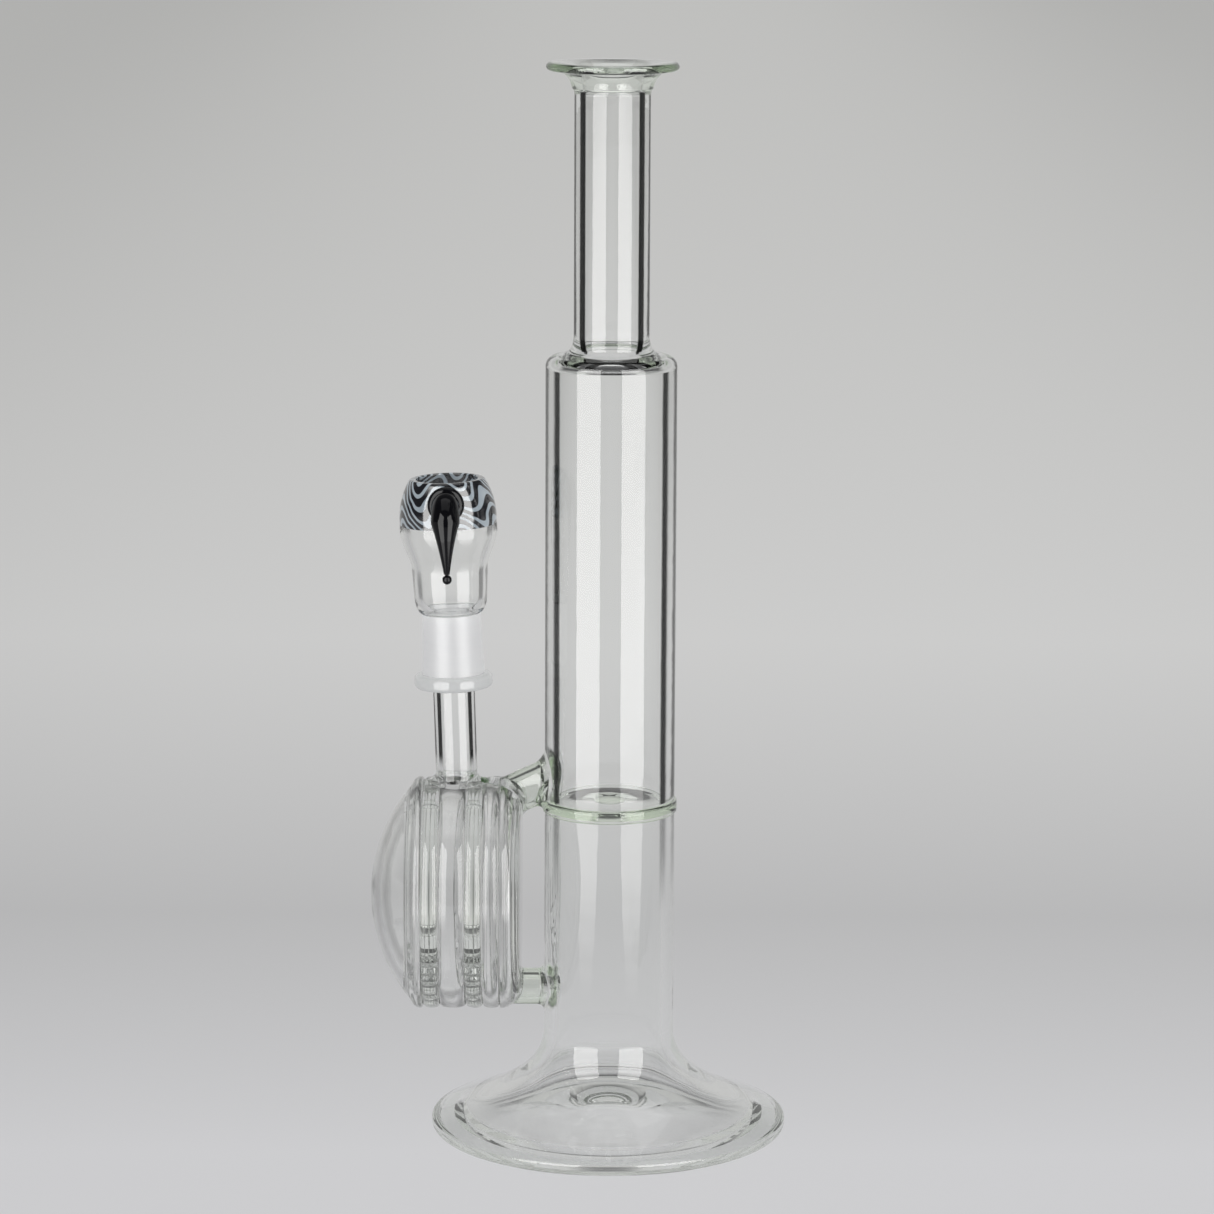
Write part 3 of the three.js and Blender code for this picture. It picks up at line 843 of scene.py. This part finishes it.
def slot_bit(angle, low, high):
    """The solid of one slot: flat sides and round ends, across the disc."""
    half = SLOT_WIDTH / 2
    inner, outer = SLOT_ENDS
    outline = [
        *arc((outer - half, 0), half, -90, 90, 6),
        *arc((inner + half, 0), half, 90, 270, 6),
    ]
    turn = Matrix.Rotation(angle, 4, "Z")
    verts = [DRUM_PLACE @ turn @ Vector((x, y, z)) for z in (low, high) for x, y in outline]
    count = len(outline)
    faces = [list(range(count))[::-1], list(range(count, 2 * count))]
    faces += [[i, (i + 1) % count, (i + 1) % count + count, i + count] for i in range(count)]
    return verts, faces


def cut_slots(shape, low, high):
    """A disc with its fan of slots, and with the round vent above them, cut in one go."""
    low, high = low - 1, high + 1
    angles = [(i / (SLOT_COUNT - 1) - 0.5) * SLOT_SPREAD for i in range(SLOT_COUNT)]
    tools = [slot_bit(math.radians(angle), low, high) for angle in angles]
    vent = Matrix.Translation(DRUM_PLACE @ Vector((-VENT_OFFSET, 0, low)))
    tools.append(rod(vent @ DRUM_PLACE.to_3x3().to_4x4(), VENT_RADIUS, high - low))
    verts, faces = [], []
    for tool_verts, tool_faces in tools:
        faces += [[k + len(verts) for k in face] for face in tool_faces]
        verts += tool_verts
    return carved(shape, [(verts, faces)])


def diffuser_disc(name, node):
    low, high = span(node, X)
    low, high = low + WELD_GAP, high - WELD_GAP
    runs = [
        (False, [(0, low), (drum_bore, low)]),
        (True, [(drum_radius - GROOVE, low)]),
        (False, grooved(low, high)),
        (True, [(drum_bore, high)]),
        (False, [(0, high)]),
    ]
    shape = cut_slots(turned(runs, WIDE_STEPS, DRUM_PLACE), low, high)
    make_piece(name, shape, DISC, node, "weld_glass")


def drum_dome():
    apex, rim = span("drum_dome", X)
    rim -= WELD_GAP
    depth = rim - apex
    sphere = (DOME_RIM_RADIUS**2 + depth**2) / (2 * depth)
    inner = sphere - DOME_WALL
    centre = (0, apex + sphere)
    outer_angle = math.degrees(math.asin((centre[1] - rim) / sphere))
    inner_angle = math.degrees(math.asin((centre[1] - rim) / inner))
    runs = [
        (False, arc(centre, sphere, -90, -outer_angle, 24)),
        (True, [arc(centre, inner, -inner_angle, -90, 24)[0]]),
        (False, arc(centre, inner, -inner_angle, -90, 24)),
    ]
    shape = turned(runs, WIDE_STEPS, DRUM_PLACE)
    make_piece("drum_dome_glass", shape, DOME_CLEAR, "drum_dome")


def drum_left_ring():
    low, high = span("drum_left_ring", X)
    low, high = low + WELD_GAP, high - WELD_GAP
    inner = DOME_RIM_RADIUS - DOME_WALL - 0.1
    runs = [
        (True, [(inner, low), (DOME_RIM_RADIUS, low)]),
        (False, bezier(
            (DOME_RIM_RADIUS, low), (DOME_RIM_RADIUS + 2.0, low + 1.0),
            (drum_radius, low + 2.0), (drum_radius, low + 3.6), 10)),
        (False, bezier(
            (drum_radius, low + 3.6), (drum_radius, high - 0.4),
            (drum_radius - GROOVE * 0.4, high - 0.05), (drum_radius - GROOVE, high), 5)),
        (True, [(drum_bore, high)]),
        (False, bezier(
            (drum_bore, high), (drum_bore, low + 2), (inner + 1, low + 0.6), (inner, low), 8)),
    ]
    shape = turned(runs, WIDE_STEPS, DRUM_PLACE)
    make_piece("drum_left_ring_glass", shape, DISC, "drum_left_ring", "weld_glass")


def drum_back_plate():
    low, high = span("drum_back_plate", X)
    low += WELD_GAP
    centre = (drum_radius - BACK_ROUND, high - BACK_ROUND)
    runs = [
        (False, [(0, high - DRUM_WALL)]),
        (False, arc(centre, BACK_ROUND - DRUM_WALL, 90, 0, 10)),
        (False, [(drum_bore, low)]),
        (True, [(drum_radius - GROOVE, low)]),
        (False, bezier(
            (drum_radius - GROOVE, low), (drum_radius - 0.1, low + 0.1),
            (drum_radius, low + 0.3), arc(centre, BACK_ROUND, 4, 90, 2)[0], 4)),
        (False, arc(centre, BACK_ROUND, 4, 90, 16)),
        (False, [(0, high)]),
    ]
    shape = turned(runs, WIDE_STEPS, DRUM_PLACE)
    drills = [
        (*map(on_uptake, UPTAKE_DRUM_DRILL), UPTAKE_BORE),
        (*map(on_drain, DRAIN_DRUM_DRILL), DRAIN_BORE),
    ]
    shape = drilled(shape, drills)
    make_piece("drum_back_glass", shape, DRUM_CLEAR, "drum_back_plate")


INLET_HOLE = 4.2
INLET_HOLE_X = -60.0

drum_dome()
drum_left_ring()
diffuser_disc("left_disc_glass", "diffuser_disc_left")
hole_low = Vector((INLET_HOLE_X, 0, drum_height + drum_bore - 3))
hole_high = Vector((INLET_HOLE_X, 0, drum_height + drum_radius + 3))
drum_ring(
    "centre_ring_glass", "drum_centre_ring", DRUM_CLEAR, "clear_glass",
    [(hole_low, hole_high, INLET_HOLE)],
)
diffuser_disc("right_disc_glass", "diffuser_disc_right")
drum_ring("right_ring_glass", "drum_right_ring", DRUM_CLEAR, "clear_glass")
drum_back_plate()

# ----------------------------------------------------------
# The uptake and drain tubes: short tubes melted to the drum and to the column, each end drawn out
# over the wall it meets. The stem stands on the drum in the same way and leans a little left.
# ----------------------------------------------------------

UPTAKE_RADIUS = 7.8
DRAIN_RADIUS = 7.0
TUBE_STEPS = 64
SADDLE_STEPS = 4
FILLET_STEPS = 8
UPTAKE_FILLETS = (3.0, 4.2)
DRAIN_FILLETS = (0.9, 2.8)
REACH_LIMIT = 60.0
TOUCH_GAP = 0.04

joint = frame["record"]["behaviour"]["joints"][0]
lift = Vector(joint["axis"]).normalized()
LEAN = math.asin(-lift.x)
INLET_FOOT = (-58.75, 138.25)
INLET_PLACE = (
    Matrix.Translation((INLET_FOOT[0], 0, INLET_FOOT[1])) @ Matrix.Rotation(-LEAN, 4, "Y")
)


def walls_of(*names):
    """The skins of pieces already made, to find where a tube meets them."""
    verts, faces = [], []
    for name in names:
        mesh = bpy.data.objects[name].data
        faces += [[k + len(verts) for k in p.vertices] for p in mesh.polygons]
        verts += [v.co / MM for v in mesh.vertices]
    return BVHTree.FromPolygons(verts, faces)


def round_wall(radius, place):
    """A plain drum-shaped wall, for a tube to stand on."""
    runs = [(False, [(0, -200), (radius, -200), (radius, 400), (0, 400)])]
    verts, faces, _ = turned(runs, 256, place)
    return BVHTree.FromPolygons(verts, faces)


def reach(wall, spot, along):
    """How far from a spot the wall is, along a direction. None if it meets no wall."""
    return wall.ray_cast(spot, along, REACH_LIMIT)[3]


def ring(middle, along, radius):
    """Points round a line, each with its direction from the line."""
    side = Vector((0, 1, 0))
    other = along.cross(side).normalized()
    turns = [2 * math.pi * i / TUBE_STEPS for i in range(TUBE_STEPS)]
    rays = [side * math.cos(turn) + other * math.sin(turn) for turn in turns]
    return [(middle + ray * radius, ray) for ray in rays]


def saddled_end(wall, middle, along, size, fillet):
    """One tube end, ring by ring: from the bore out over the wall, and up to the plain tube."""
    bore, radius = size
    outline = []
    for k in range(SADDLE_STEPS + 1):
        outline.append((bore + (radius + fillet - bore) * k / SADDLE_STEPS, 0.0))
    for k in range(1, FILLET_STEPS + 1):
        bend = math.pi / 2 * k / FILLET_STEPS
        outline.append((radius + fillet * (1 - math.sin(bend)), fillet * (1 - math.cos(bend))))
    met = [None] * TUBE_STEPS
    rings = []
    for r, lift_off in outline:
        spots = []
        for i, (spot, _) in enumerate(ring(middle, along, r)):
            # Where the wall has curved away from the tube, the last place that met it holds.
            far = reach(wall, spot, along)
            met[i] = met[i] if far is None else far
            spots.append(spot + along * (met[i] - TOUCH_GAP - lift_off))
        rings.append(spots)
    return rings


def outward(verts, faces):
    """A closed shape with every face turned outwards."""
    made = bmesh.new()
    spots = [made.verts.new(v) for v in verts]
    for face in faces:
        made.faces.new([spots[i] for i in face])
    bmesh.ops.recalc_face_normals(made, faces=made.faces[:])
    mesh = bpy.data.meshes.new("outward")
    made.to_mesh(mesh)
    made.free()
    return [v.co.copy() for v in mesh.vertices], [list(p.vertices) for p in mesh.polygons]


def ringed_piece(name, rings, melted, material, node):
    """A glass tube from a closed loop of rings. Each ring says if the skin after it is melted."""
    verts = [spot for spots in rings for spot in spots]
    faces = []
    for k in range(len(rings)):
        here, after = k * TUBE_STEPS, (k + 1) % len(rings) * TUBE_STEPS
        for i in range(TUBE_STEPS):
            j = (i + 1) % TUBE_STEPS
            faces.append((here + i, here + j, after + j, after + i))
    welds = [flag for flag in melted for _ in range(TUBE_STEPS)]
    make_piece(name, (*outward(verts, faces), welds), material, node)


def saddled_tube(name, middle, along, size, walls, fillets, node):
    """A tube between two walls. It starts at the wall behind middle and ends at the one ahead."""
    ahead = saddled_end(walls[1], middle, along, size, fillets[1])
    behind = saddled_end(walls[0], middle, -along, size, fillets[0])
    # Both ends count their steps the same way round the tube.
    behind = [spots[:1] + spots[1:][::-1] for spots in behind]
    rings = behind + ahead[::-1]
    last = len(rings) - 1
    melted = [k < SADDLE_STEPS or last - SADDLE_STEPS <= k < last for k in range(len(rings))]
    ringed_piece(name, rings, melted, GREEN_WELD, node)


column_wall = round_wall(column_radius, Matrix.Identity(4))
drum_wall = walls_of("drum_back_glass", "right_ring_glass", "right_disc_glass")
drum_round = round_wall(drum_radius, DRUM_PLACE)

uptake_along = Vector((math.cos(UPTAKE_SLOPE), 0, math.sin(UPTAKE_SLOPE)))
saddled_tube(
    "uptake_glass", on_uptake(-31), uptake_along, (UPTAKE_BORE, UPTAKE_RADIUS),
    (drum_wall, column_wall), UPTAKE_FILLETS, "uptake_tube",
)
saddled_tube(
    "drain_glass", on_drain(-30), Vector((1, 0, 0)), (DRAIN_BORE, DRAIN_RADIUS),
    (drum_wall, column_wall), DRAIN_FILLETS, "drain_tube",
)

STEM_RADIUS = 8.0
STEM_BORE = 5.5
STEM_TOP = 38.5
STEM_FILLET = 3.6


def inlet_stem():
    along = INLET_PLACE.to_3x3() @ Vector((0, 0, -1))
    middle = INLET_PLACE @ Vector((0, 0, STEM_TOP))
    rings = saddled_end(drum_round, middle, along, (STEM_BORE, STEM_RADIUS), STEM_FILLET)
    for radius in (STEM_RADIUS, STEM_BORE):
        rings.append([spot for spot, _ in ring(middle, along, radius)])
    melted = [k < SADDLE_STEPS or k == len(rings) - 2 for k in range(len(rings))]
    ringed_piece("inlet_stem_glass", rings, melted, STEM_TUBE, "inlet_stem")


inlet_stem()

# ----------------------------------------------------------
# The ground joint: a male taper on the stem and a female socket on the dome, ground with grit to
# fit. Grinding leaves the glass white and matt. The socket's mouth has a thick reinforcing rim.
# ----------------------------------------------------------

MALE_RADIUS = 9.4
MALE_TOP_RADIUS = 8.35
MALE_SHOULDER = 41.0
MALE_TOP = 62.0
FIT_GAP = 0.3
SOCKET_RIM = (36.5, 42.0)
SOCKET_TOP = 65.25
SOCKET_RADIUS = 12.05
SOCKET_TOP_RADIUS = 11.25
RIM_RADIUS = 15.0
RIM_ROUND = 1.6
MIDDLE_STEPS = 96


def ground_glass():
    """Frosted glass: fine pits scatter the light, with faint rings left by the grinding."""
    made = Finish("ground_glass")
    place = made.place()
    stretched = made.stretched(place, (120, 120, 900))
    rings = made.noise(stretched, 1.0, 4.0)
    pits = made.noise(place, 2600.0)
    surface = made.skin({
        "Base Color": made.mix_colour(rings, (0.95, 0.96, 0.965, 1), (1.0, 1.0, 1.0, 1)),
        "Roughness": 0.34 + rings * 0.14,
        "IOR": GLASS_IOR,
        "Transmission Weight": 0.14,
        "Normal": made.bump(pits, 0.00005, 0.5),
    })
    return made.finish(open_at_welds(made, surface))


def rim_glass():
    """The socket's rim: fire-polished outside, milky from the ground bore behind it."""
    made = Finish("rim_glass")
    place = made.place()
    cloud = made.noise(place, 420.0)
    surface = made.skin({
        "Base Color": made.mix_colour(cloud, (0.93, 0.96, 0.95, 1), (1.0, 1.0, 1.0, 1)),
        "Roughness": 0.04 + cloud * 0.05,
        "IOR": GLASS_IOR,
        "Transmission Weight": 0.22,
        "Normal": made.bump(cloud, 0.0001, 0.4),
    })
    return made.finish(open_at_welds(made, surface))


GROUND = ground_glass()


def taper(height):
    slope = (MALE_RADIUS - MALE_TOP_RADIUS) / (MALE_TOP - MALE_SHOULDER)
    return MALE_RADIUS - (height - MALE_SHOULDER) * slope


def ground_joint():
    low = STEM_TOP + WELD_GAP
    runs = [
        (True, [(STEM_BORE, low), (STEM_RADIUS, low)]),
        (False, bezier(
            (STEM_RADIUS, low), (STEM_RADIUS + 0.2, low + 1.2), (MALE_RADIUS - 0.1, low + 1.3),
            (MALE_RADIUS, MALE_SHOULDER), 8)),
        (False, [(taper(MALE_TOP - 0.8), MALE_TOP - 0.8)]),
        (False, [(taper(MALE_TOP) - 0.7, MALE_TOP), (STEM_BORE + 0.5, MALE_TOP)]),
        (False, [(STEM_BORE, MALE_TOP - 0.5), (STEM_BORE, low)]),
    ]
    shape = turned(runs, MIDDLE_STEPS, INLET_PLACE)
    make_piece("male_joint_glass", shape, GROUND, "ground_joint", "ground_glass")


def socket():
    low, high = SOCKET_RIM
    edge = RIM_ROUND
    foot_of_barrel = taper(high) + FIT_GAP
    mouth = taper(low) + FIT_GAP
    runs = [
        (False, [(mouth + 0.4, low), (RIM_RADIUS - edge, low)]),
        (False, arc((RIM_RADIUS - edge, low + edge), edge, -90, 0, 8)),
        (False, arc((RIM_RADIUS - edge, high - edge - 0.4), edge, 0, 80, 8)),
        (False, bezier(
            (RIM_RADIUS - 1.3, high - 0.42), (13.0, high - 0.3), (12.4, high - 0.2),
            (SOCKET_RADIUS, high), 6)),
        (True, [(foot_of_barrel, high)]),
        (False, [(mouth, low + 0.4)]),
    ]
    shape = turned(runs, MIDDLE_STEPS, INLET_PLACE)
    make_piece("socket_rim_glass", shape, rim_glass(), "socket_rim", "ground_glass", "dome")
    low = high + WELD_GAP
    high = SOCKET_TOP - WELD_GAP
    runs = [
        (True, [(taper(low) + FIT_GAP, low), (SOCKET_RADIUS, low)]),
        (False, [(SOCKET_TOP_RADIUS, high)]),
        (True, [(taper(high) + FIT_GAP, high)]),
        (False, [(taper(low) + FIT_GAP, low)]),
    ]
    shape = turned(runs, MIDDLE_STEPS, INLET_PLACE)
    make_piece("socket_glass", shape, GROUND, "dome_socket", "ground_glass", "dome")


ground_joint()
socket()

# ----------------------------------------------------------
# The dome: blown clear glass that opens out from the socket. Its upper band is worked glass, with
# black and pale blue threads melted side by side and combed into waves before it was blown out.
# ----------------------------------------------------------

BOWL_WALL = 2.6
BOWL_WAIST = (14.5, 83.0)
BOWL_WIDE = (18.5, 96.0)
BOWL_TOP = 100.0
MOUTH = (14.2, 117.25)
THREAD_HEIGHT = 108.0
THREAD_BLACK = (0.008, 0.009, 0.013, 1)
THREAD_BLUE = (0.30, 0.37, 0.43, 1)
THREAD_PALE = (0.64, 0.71, 0.75, 1)


def thread_glass():
    """Black and pale blue threads in wavy loops, under a clear bright skin."""
    made = Finish("thread_glass")
    place = made.place()
    apart = made.apart(place)
    middle = INLET_PLACE @ Vector((0, 0, THREAD_HEIGHT))
    east = apart[0] - middle.x * MM
    turn = made.node("ShaderNodeMath", {"operation": "ARCTAN2"}, {0: apart[1], 1: east})[0]
    height = (apart[2] - middle.z * MM) * (1 / (9 * MM))
    sway = made.node("ShaderNodeMath", {"operation": "SINE"}, {0: turn * 5.0 + height * 1.4})[0]
    swell = made.node("ShaderNodeMath", {"operation": "SINE"}, {0: turn * 3.0 + 1.3})[0]
    drift = made.noise(place, 110.0, 1.0)
    lines = height * 13.0 + sway * 6.5 + swell * 3.5 + (drift - 0.5) * 8.0
    wave = made.node("ShaderNodeMath", {"operation": "SINE"}, {0: lines})[0]
    pale = made.between(wave, 0.18, 0.50)
    blue = made.mix_colour(drift, THREAD_BLUE, THREAD_PALE)
    surface = made.skin({
        "Base Color": made.mix_colour(pale, THREAD_BLACK, blue),
        "Roughness": 0.10 + drift * 0.05,
        "Specular IOR Level": 0.5,
        "Coat Weight": 0.9,
        "Coat Roughness": 0.02,
        "Normal": made.bump(wave, 0.00006, 0.4),
    })
    return made.finish(surface)


def bowl():
    low, high = SOCKET_TOP + WELD_GAP, BOWL_TOP - WELD_GAP
    outside = [
        (SOCKET_TOP_RADIUS, low),
        *bezier((SOCKET_TOP_RADIUS, low), (12.2, low + 0.3), (13.3, low + 1.8), (13.7, low + 4.2)),
        *bezier((13.7, low + 4.2), (14.1, low + 8), (14.3, BOWL_WAIST[1] - 4), BOWL_WAIST, 10),
        *bezier(BOWL_WAIST, (14.9, 87), (17.9, 91.5), BOWL_WIDE, 16),
        *bezier(BOWL_WIDE, (18.7, 97.5), (18.6, 99), (BOWL_WIDE[0], high), 6),
    ]
    start = taper(low) + FIT_GAP
    inside = [
        (BOWL_WIDE[0] - BOWL_WALL, high),
        *bezier((15.9, high), (15.9, 98), (15.7, 97), (15.5, 95.5), 6),
        *bezier((15.5, 95.5), (14.8, 91.5), (12.2, 87.5), (11.9, 83), 12),
        *bezier((11.9, 83), (11.5, 79), (11.4, low + 8), (11.2, low + 6), 8),
        *bezier((11.2, low + 6), (10.9, low + 3), (start + 0.6, low + 2.4), (start, low), 10),
    ]
    runs = [(True, [(start, low), (SOCKET_TOP_RADIUS, low)]), (False, outside)]
    runs += [(True, [inside[0]]), (False, inside)]
    shape = turned(runs, MIDDLE_STEPS, INLET_PLACE)
    make_piece("dome_bowl_glass", shape, BOWL_TUBE, "dome_bowl", "clear_glass", "dome")


def collar_curve(inset, low):
    top = MOUTH[1]
    return bezier(
        (BOWL_WIDE[0] - inset, low), (19.1 - inset, low + 7), (MOUTH[0] + 2.5 - inset, top - 4),
        (MOUTH[0] - inset, top), 24,
    )


def swirl_collar():
    outside = collar_curve(0, BOWL_TOP)
    inside = collar_curve(BOWL_WALL, BOWL_TOP)
    lip = bezier(
        outside[-2], (MOUTH[0] - 0.1, MOUTH[1]), (MOUTH[0] - 0.6, MOUTH[1]),
        (MOUTH[0] - BOWL_WALL / 2, MOUTH[1]), 6,
    )
    inner_lip = bezier(
        (MOUTH[0] - BOWL_WALL / 2, MOUTH[1]), (MOUTH[0] - BOWL_WALL + 0.5, MOUTH[1]),
        (MOUTH[0] - BOWL_WALL, MOUTH[1] - 0.2), inside[-2], 6,
    )
    runs = [(False, [inside[0], outside[0]]), (False, outside[:-1]), (False, lip)]
    runs += [(False, inner_lip), (False, inside[-2::-1])]
    shape = turned(runs, MIDDLE_STEPS, INLET_PLACE)
    make_piece("swirl_collar_glass", shape, thread_glass(), "swirl_collar", "swirl_glass", "dome")


bowl()
swirl_collar()

# ----------------------------------------------------------
# The handle: a drop of black glass pressed onto the collar as a round pad, with a horn drawn out
# of black rod, bent down while soft, and finished with a small ball at its tip.
# ----------------------------------------------------------

PAD_RADIUS = 7.25
PAD_HEIGHT = 109.75
PAD_FRONT = 20.5
HORN_ROOT_RADIUS = 5.4
HORN_TIP_RADIUS = 1.1
HORN_TAPER_START = 0.5
HORN_STEPS = 60
HORN_SIDES = 40
NUDGE = 1e-3
HORN_TIP = (-30.0, 85.5)
BALL_RADIUS = 1.8
DEEP_BLACK = (0.002, 0.002, 0.003, 1)
STREAK_BLACK = (0.006, 0.006, 0.008, 1)


def black_glass():
    """Opaque black glass with a wet shine and a few soft streaks from drawing."""
    made = Finish("black_glass")
    place = made.place()
    stretched = made.stretched(place, (500, 500, 60))
    streaks = made.noise(stretched, 1.0, 3.0)
    surface = made.skin({
        "Base Color": made.mix_colour(streaks, DEEP_BLACK, STREAK_BLACK),
        "Roughness": 0.05 + streaks * 0.05,
        "Specular IOR Level": 0.16,
        "Coat Weight": 0.05,
        "Coat Roughness": 0.03,
        "Normal": made.bump(streaks, 0.0001, 0.2),
    })
    return made.finish(surface)


BLACK = black_glass()


def horn_centre(share):
    root = (-PAD_FRONT - 0.05, PAD_HEIGHT)
    points = (root, (root[0] - 7, root[1]), (HORN_TIP[0] - 2.5, root[1] - 6), HORN_TIP)
    weights = (
        (1 - share) ** 3, 3 * share * (1 - share) ** 2, 3 * share**2 * (1 - share), share**3
    )
    y, z = (sum(w * p[k] for w, p in zip(weights, points)) for k in (0, 1))
    return Vector((0, y, z))


def horn():
    verts = [INLET_PLACE @ horn_centre(0)]
    for i in range(HORN_STEPS + 1):
        share = i / HORN_STEPS
        ease = max(0.0, (share - HORN_TAPER_START) / (1 - HORN_TAPER_START))
        radius = HORN_ROOT_RADIUS + (HORN_TIP_RADIUS - HORN_ROOT_RADIUS) * ease
        ahead = horn_centre(min(1, share + NUDGE)) - horn_centre(max(0, share - NUDGE))
        up = ahead.normalized().cross(Vector((1, 0, 0)))
        for k in range(HORN_SIDES):
            turn = 2 * math.pi * k / HORN_SIDES
            spot = Vector((math.cos(turn) * radius, 0, 0)) + up * math.sin(turn) * radius
            verts.append(INLET_PLACE @ (horn_centre(share) + spot))
    verts.append(INLET_PLACE @ horn_centre(1))
    faces = []
    last = 1 + HORN_STEPS * HORN_SIDES
    for k in range(HORN_SIDES):
        after = (k + 1) % HORN_SIDES
        faces.append((0, 1 + k, 1 + after))
        for i in range(HORN_STEPS):
            low, high = 1 + i * HORN_SIDES, 1 + (i + 1) * HORN_SIDES
            faces.append((low + k, high + k, high + after, low + after))
        faces.append((len(verts) - 1, last + after, last + k))
    shape = (*outward(verts, faces), [False] * len(faces))
    make_piece("handle_horn_glass", shape, BLACK, "handle_horn", "black_glass", "dome")


def pad_and_ball():
    to_front = Matrix.Rotation(math.pi / 2, 4, "X")
    place = INLET_PLACE @ Matrix.Translation((0, 0, PAD_HEIGHT)) @ to_front
    runs = [
        (False, [(0, 17.2), (PAD_RADIUS - 1.2, 16.7)]),
        (False, bezier(
            (PAD_RADIUS - 1.2, 16.7), (PAD_RADIUS, 16.7), (PAD_RADIUS, 18.9),
            (PAD_RADIUS - 1.0, 19.6), 8)),
        (False, bezier(
            (PAD_RADIUS - 1.0, 19.6), (PAD_RADIUS - 2.0, 20.2), (3.5, PAD_FRONT),
            (0, PAD_FRONT), 8)),
    ]
    shape = turned(runs, 64, place)
    make_piece("handle_pad_glass", shape, BLACK, "handle_pad", "black_glass", "dome")
    below = HORN_TIP[1] - BALL_RADIUS - 0.3
    ball_place = INLET_PLACE @ Matrix.Translation((0, HORN_TIP[0], below))
    runs = [
        (False, arc((0, 0), BALL_RADIUS, -90, 80, 16)),
        (False, [(0.3, BALL_RADIUS), (0, BALL_RADIUS)]),
    ]
    shape = turned(runs, 40, ball_place)
    make_piece("horn_tip_glass", shape, BLACK, "horn_tip", "black_glass", "dome")


horn()
pad_and_ball()
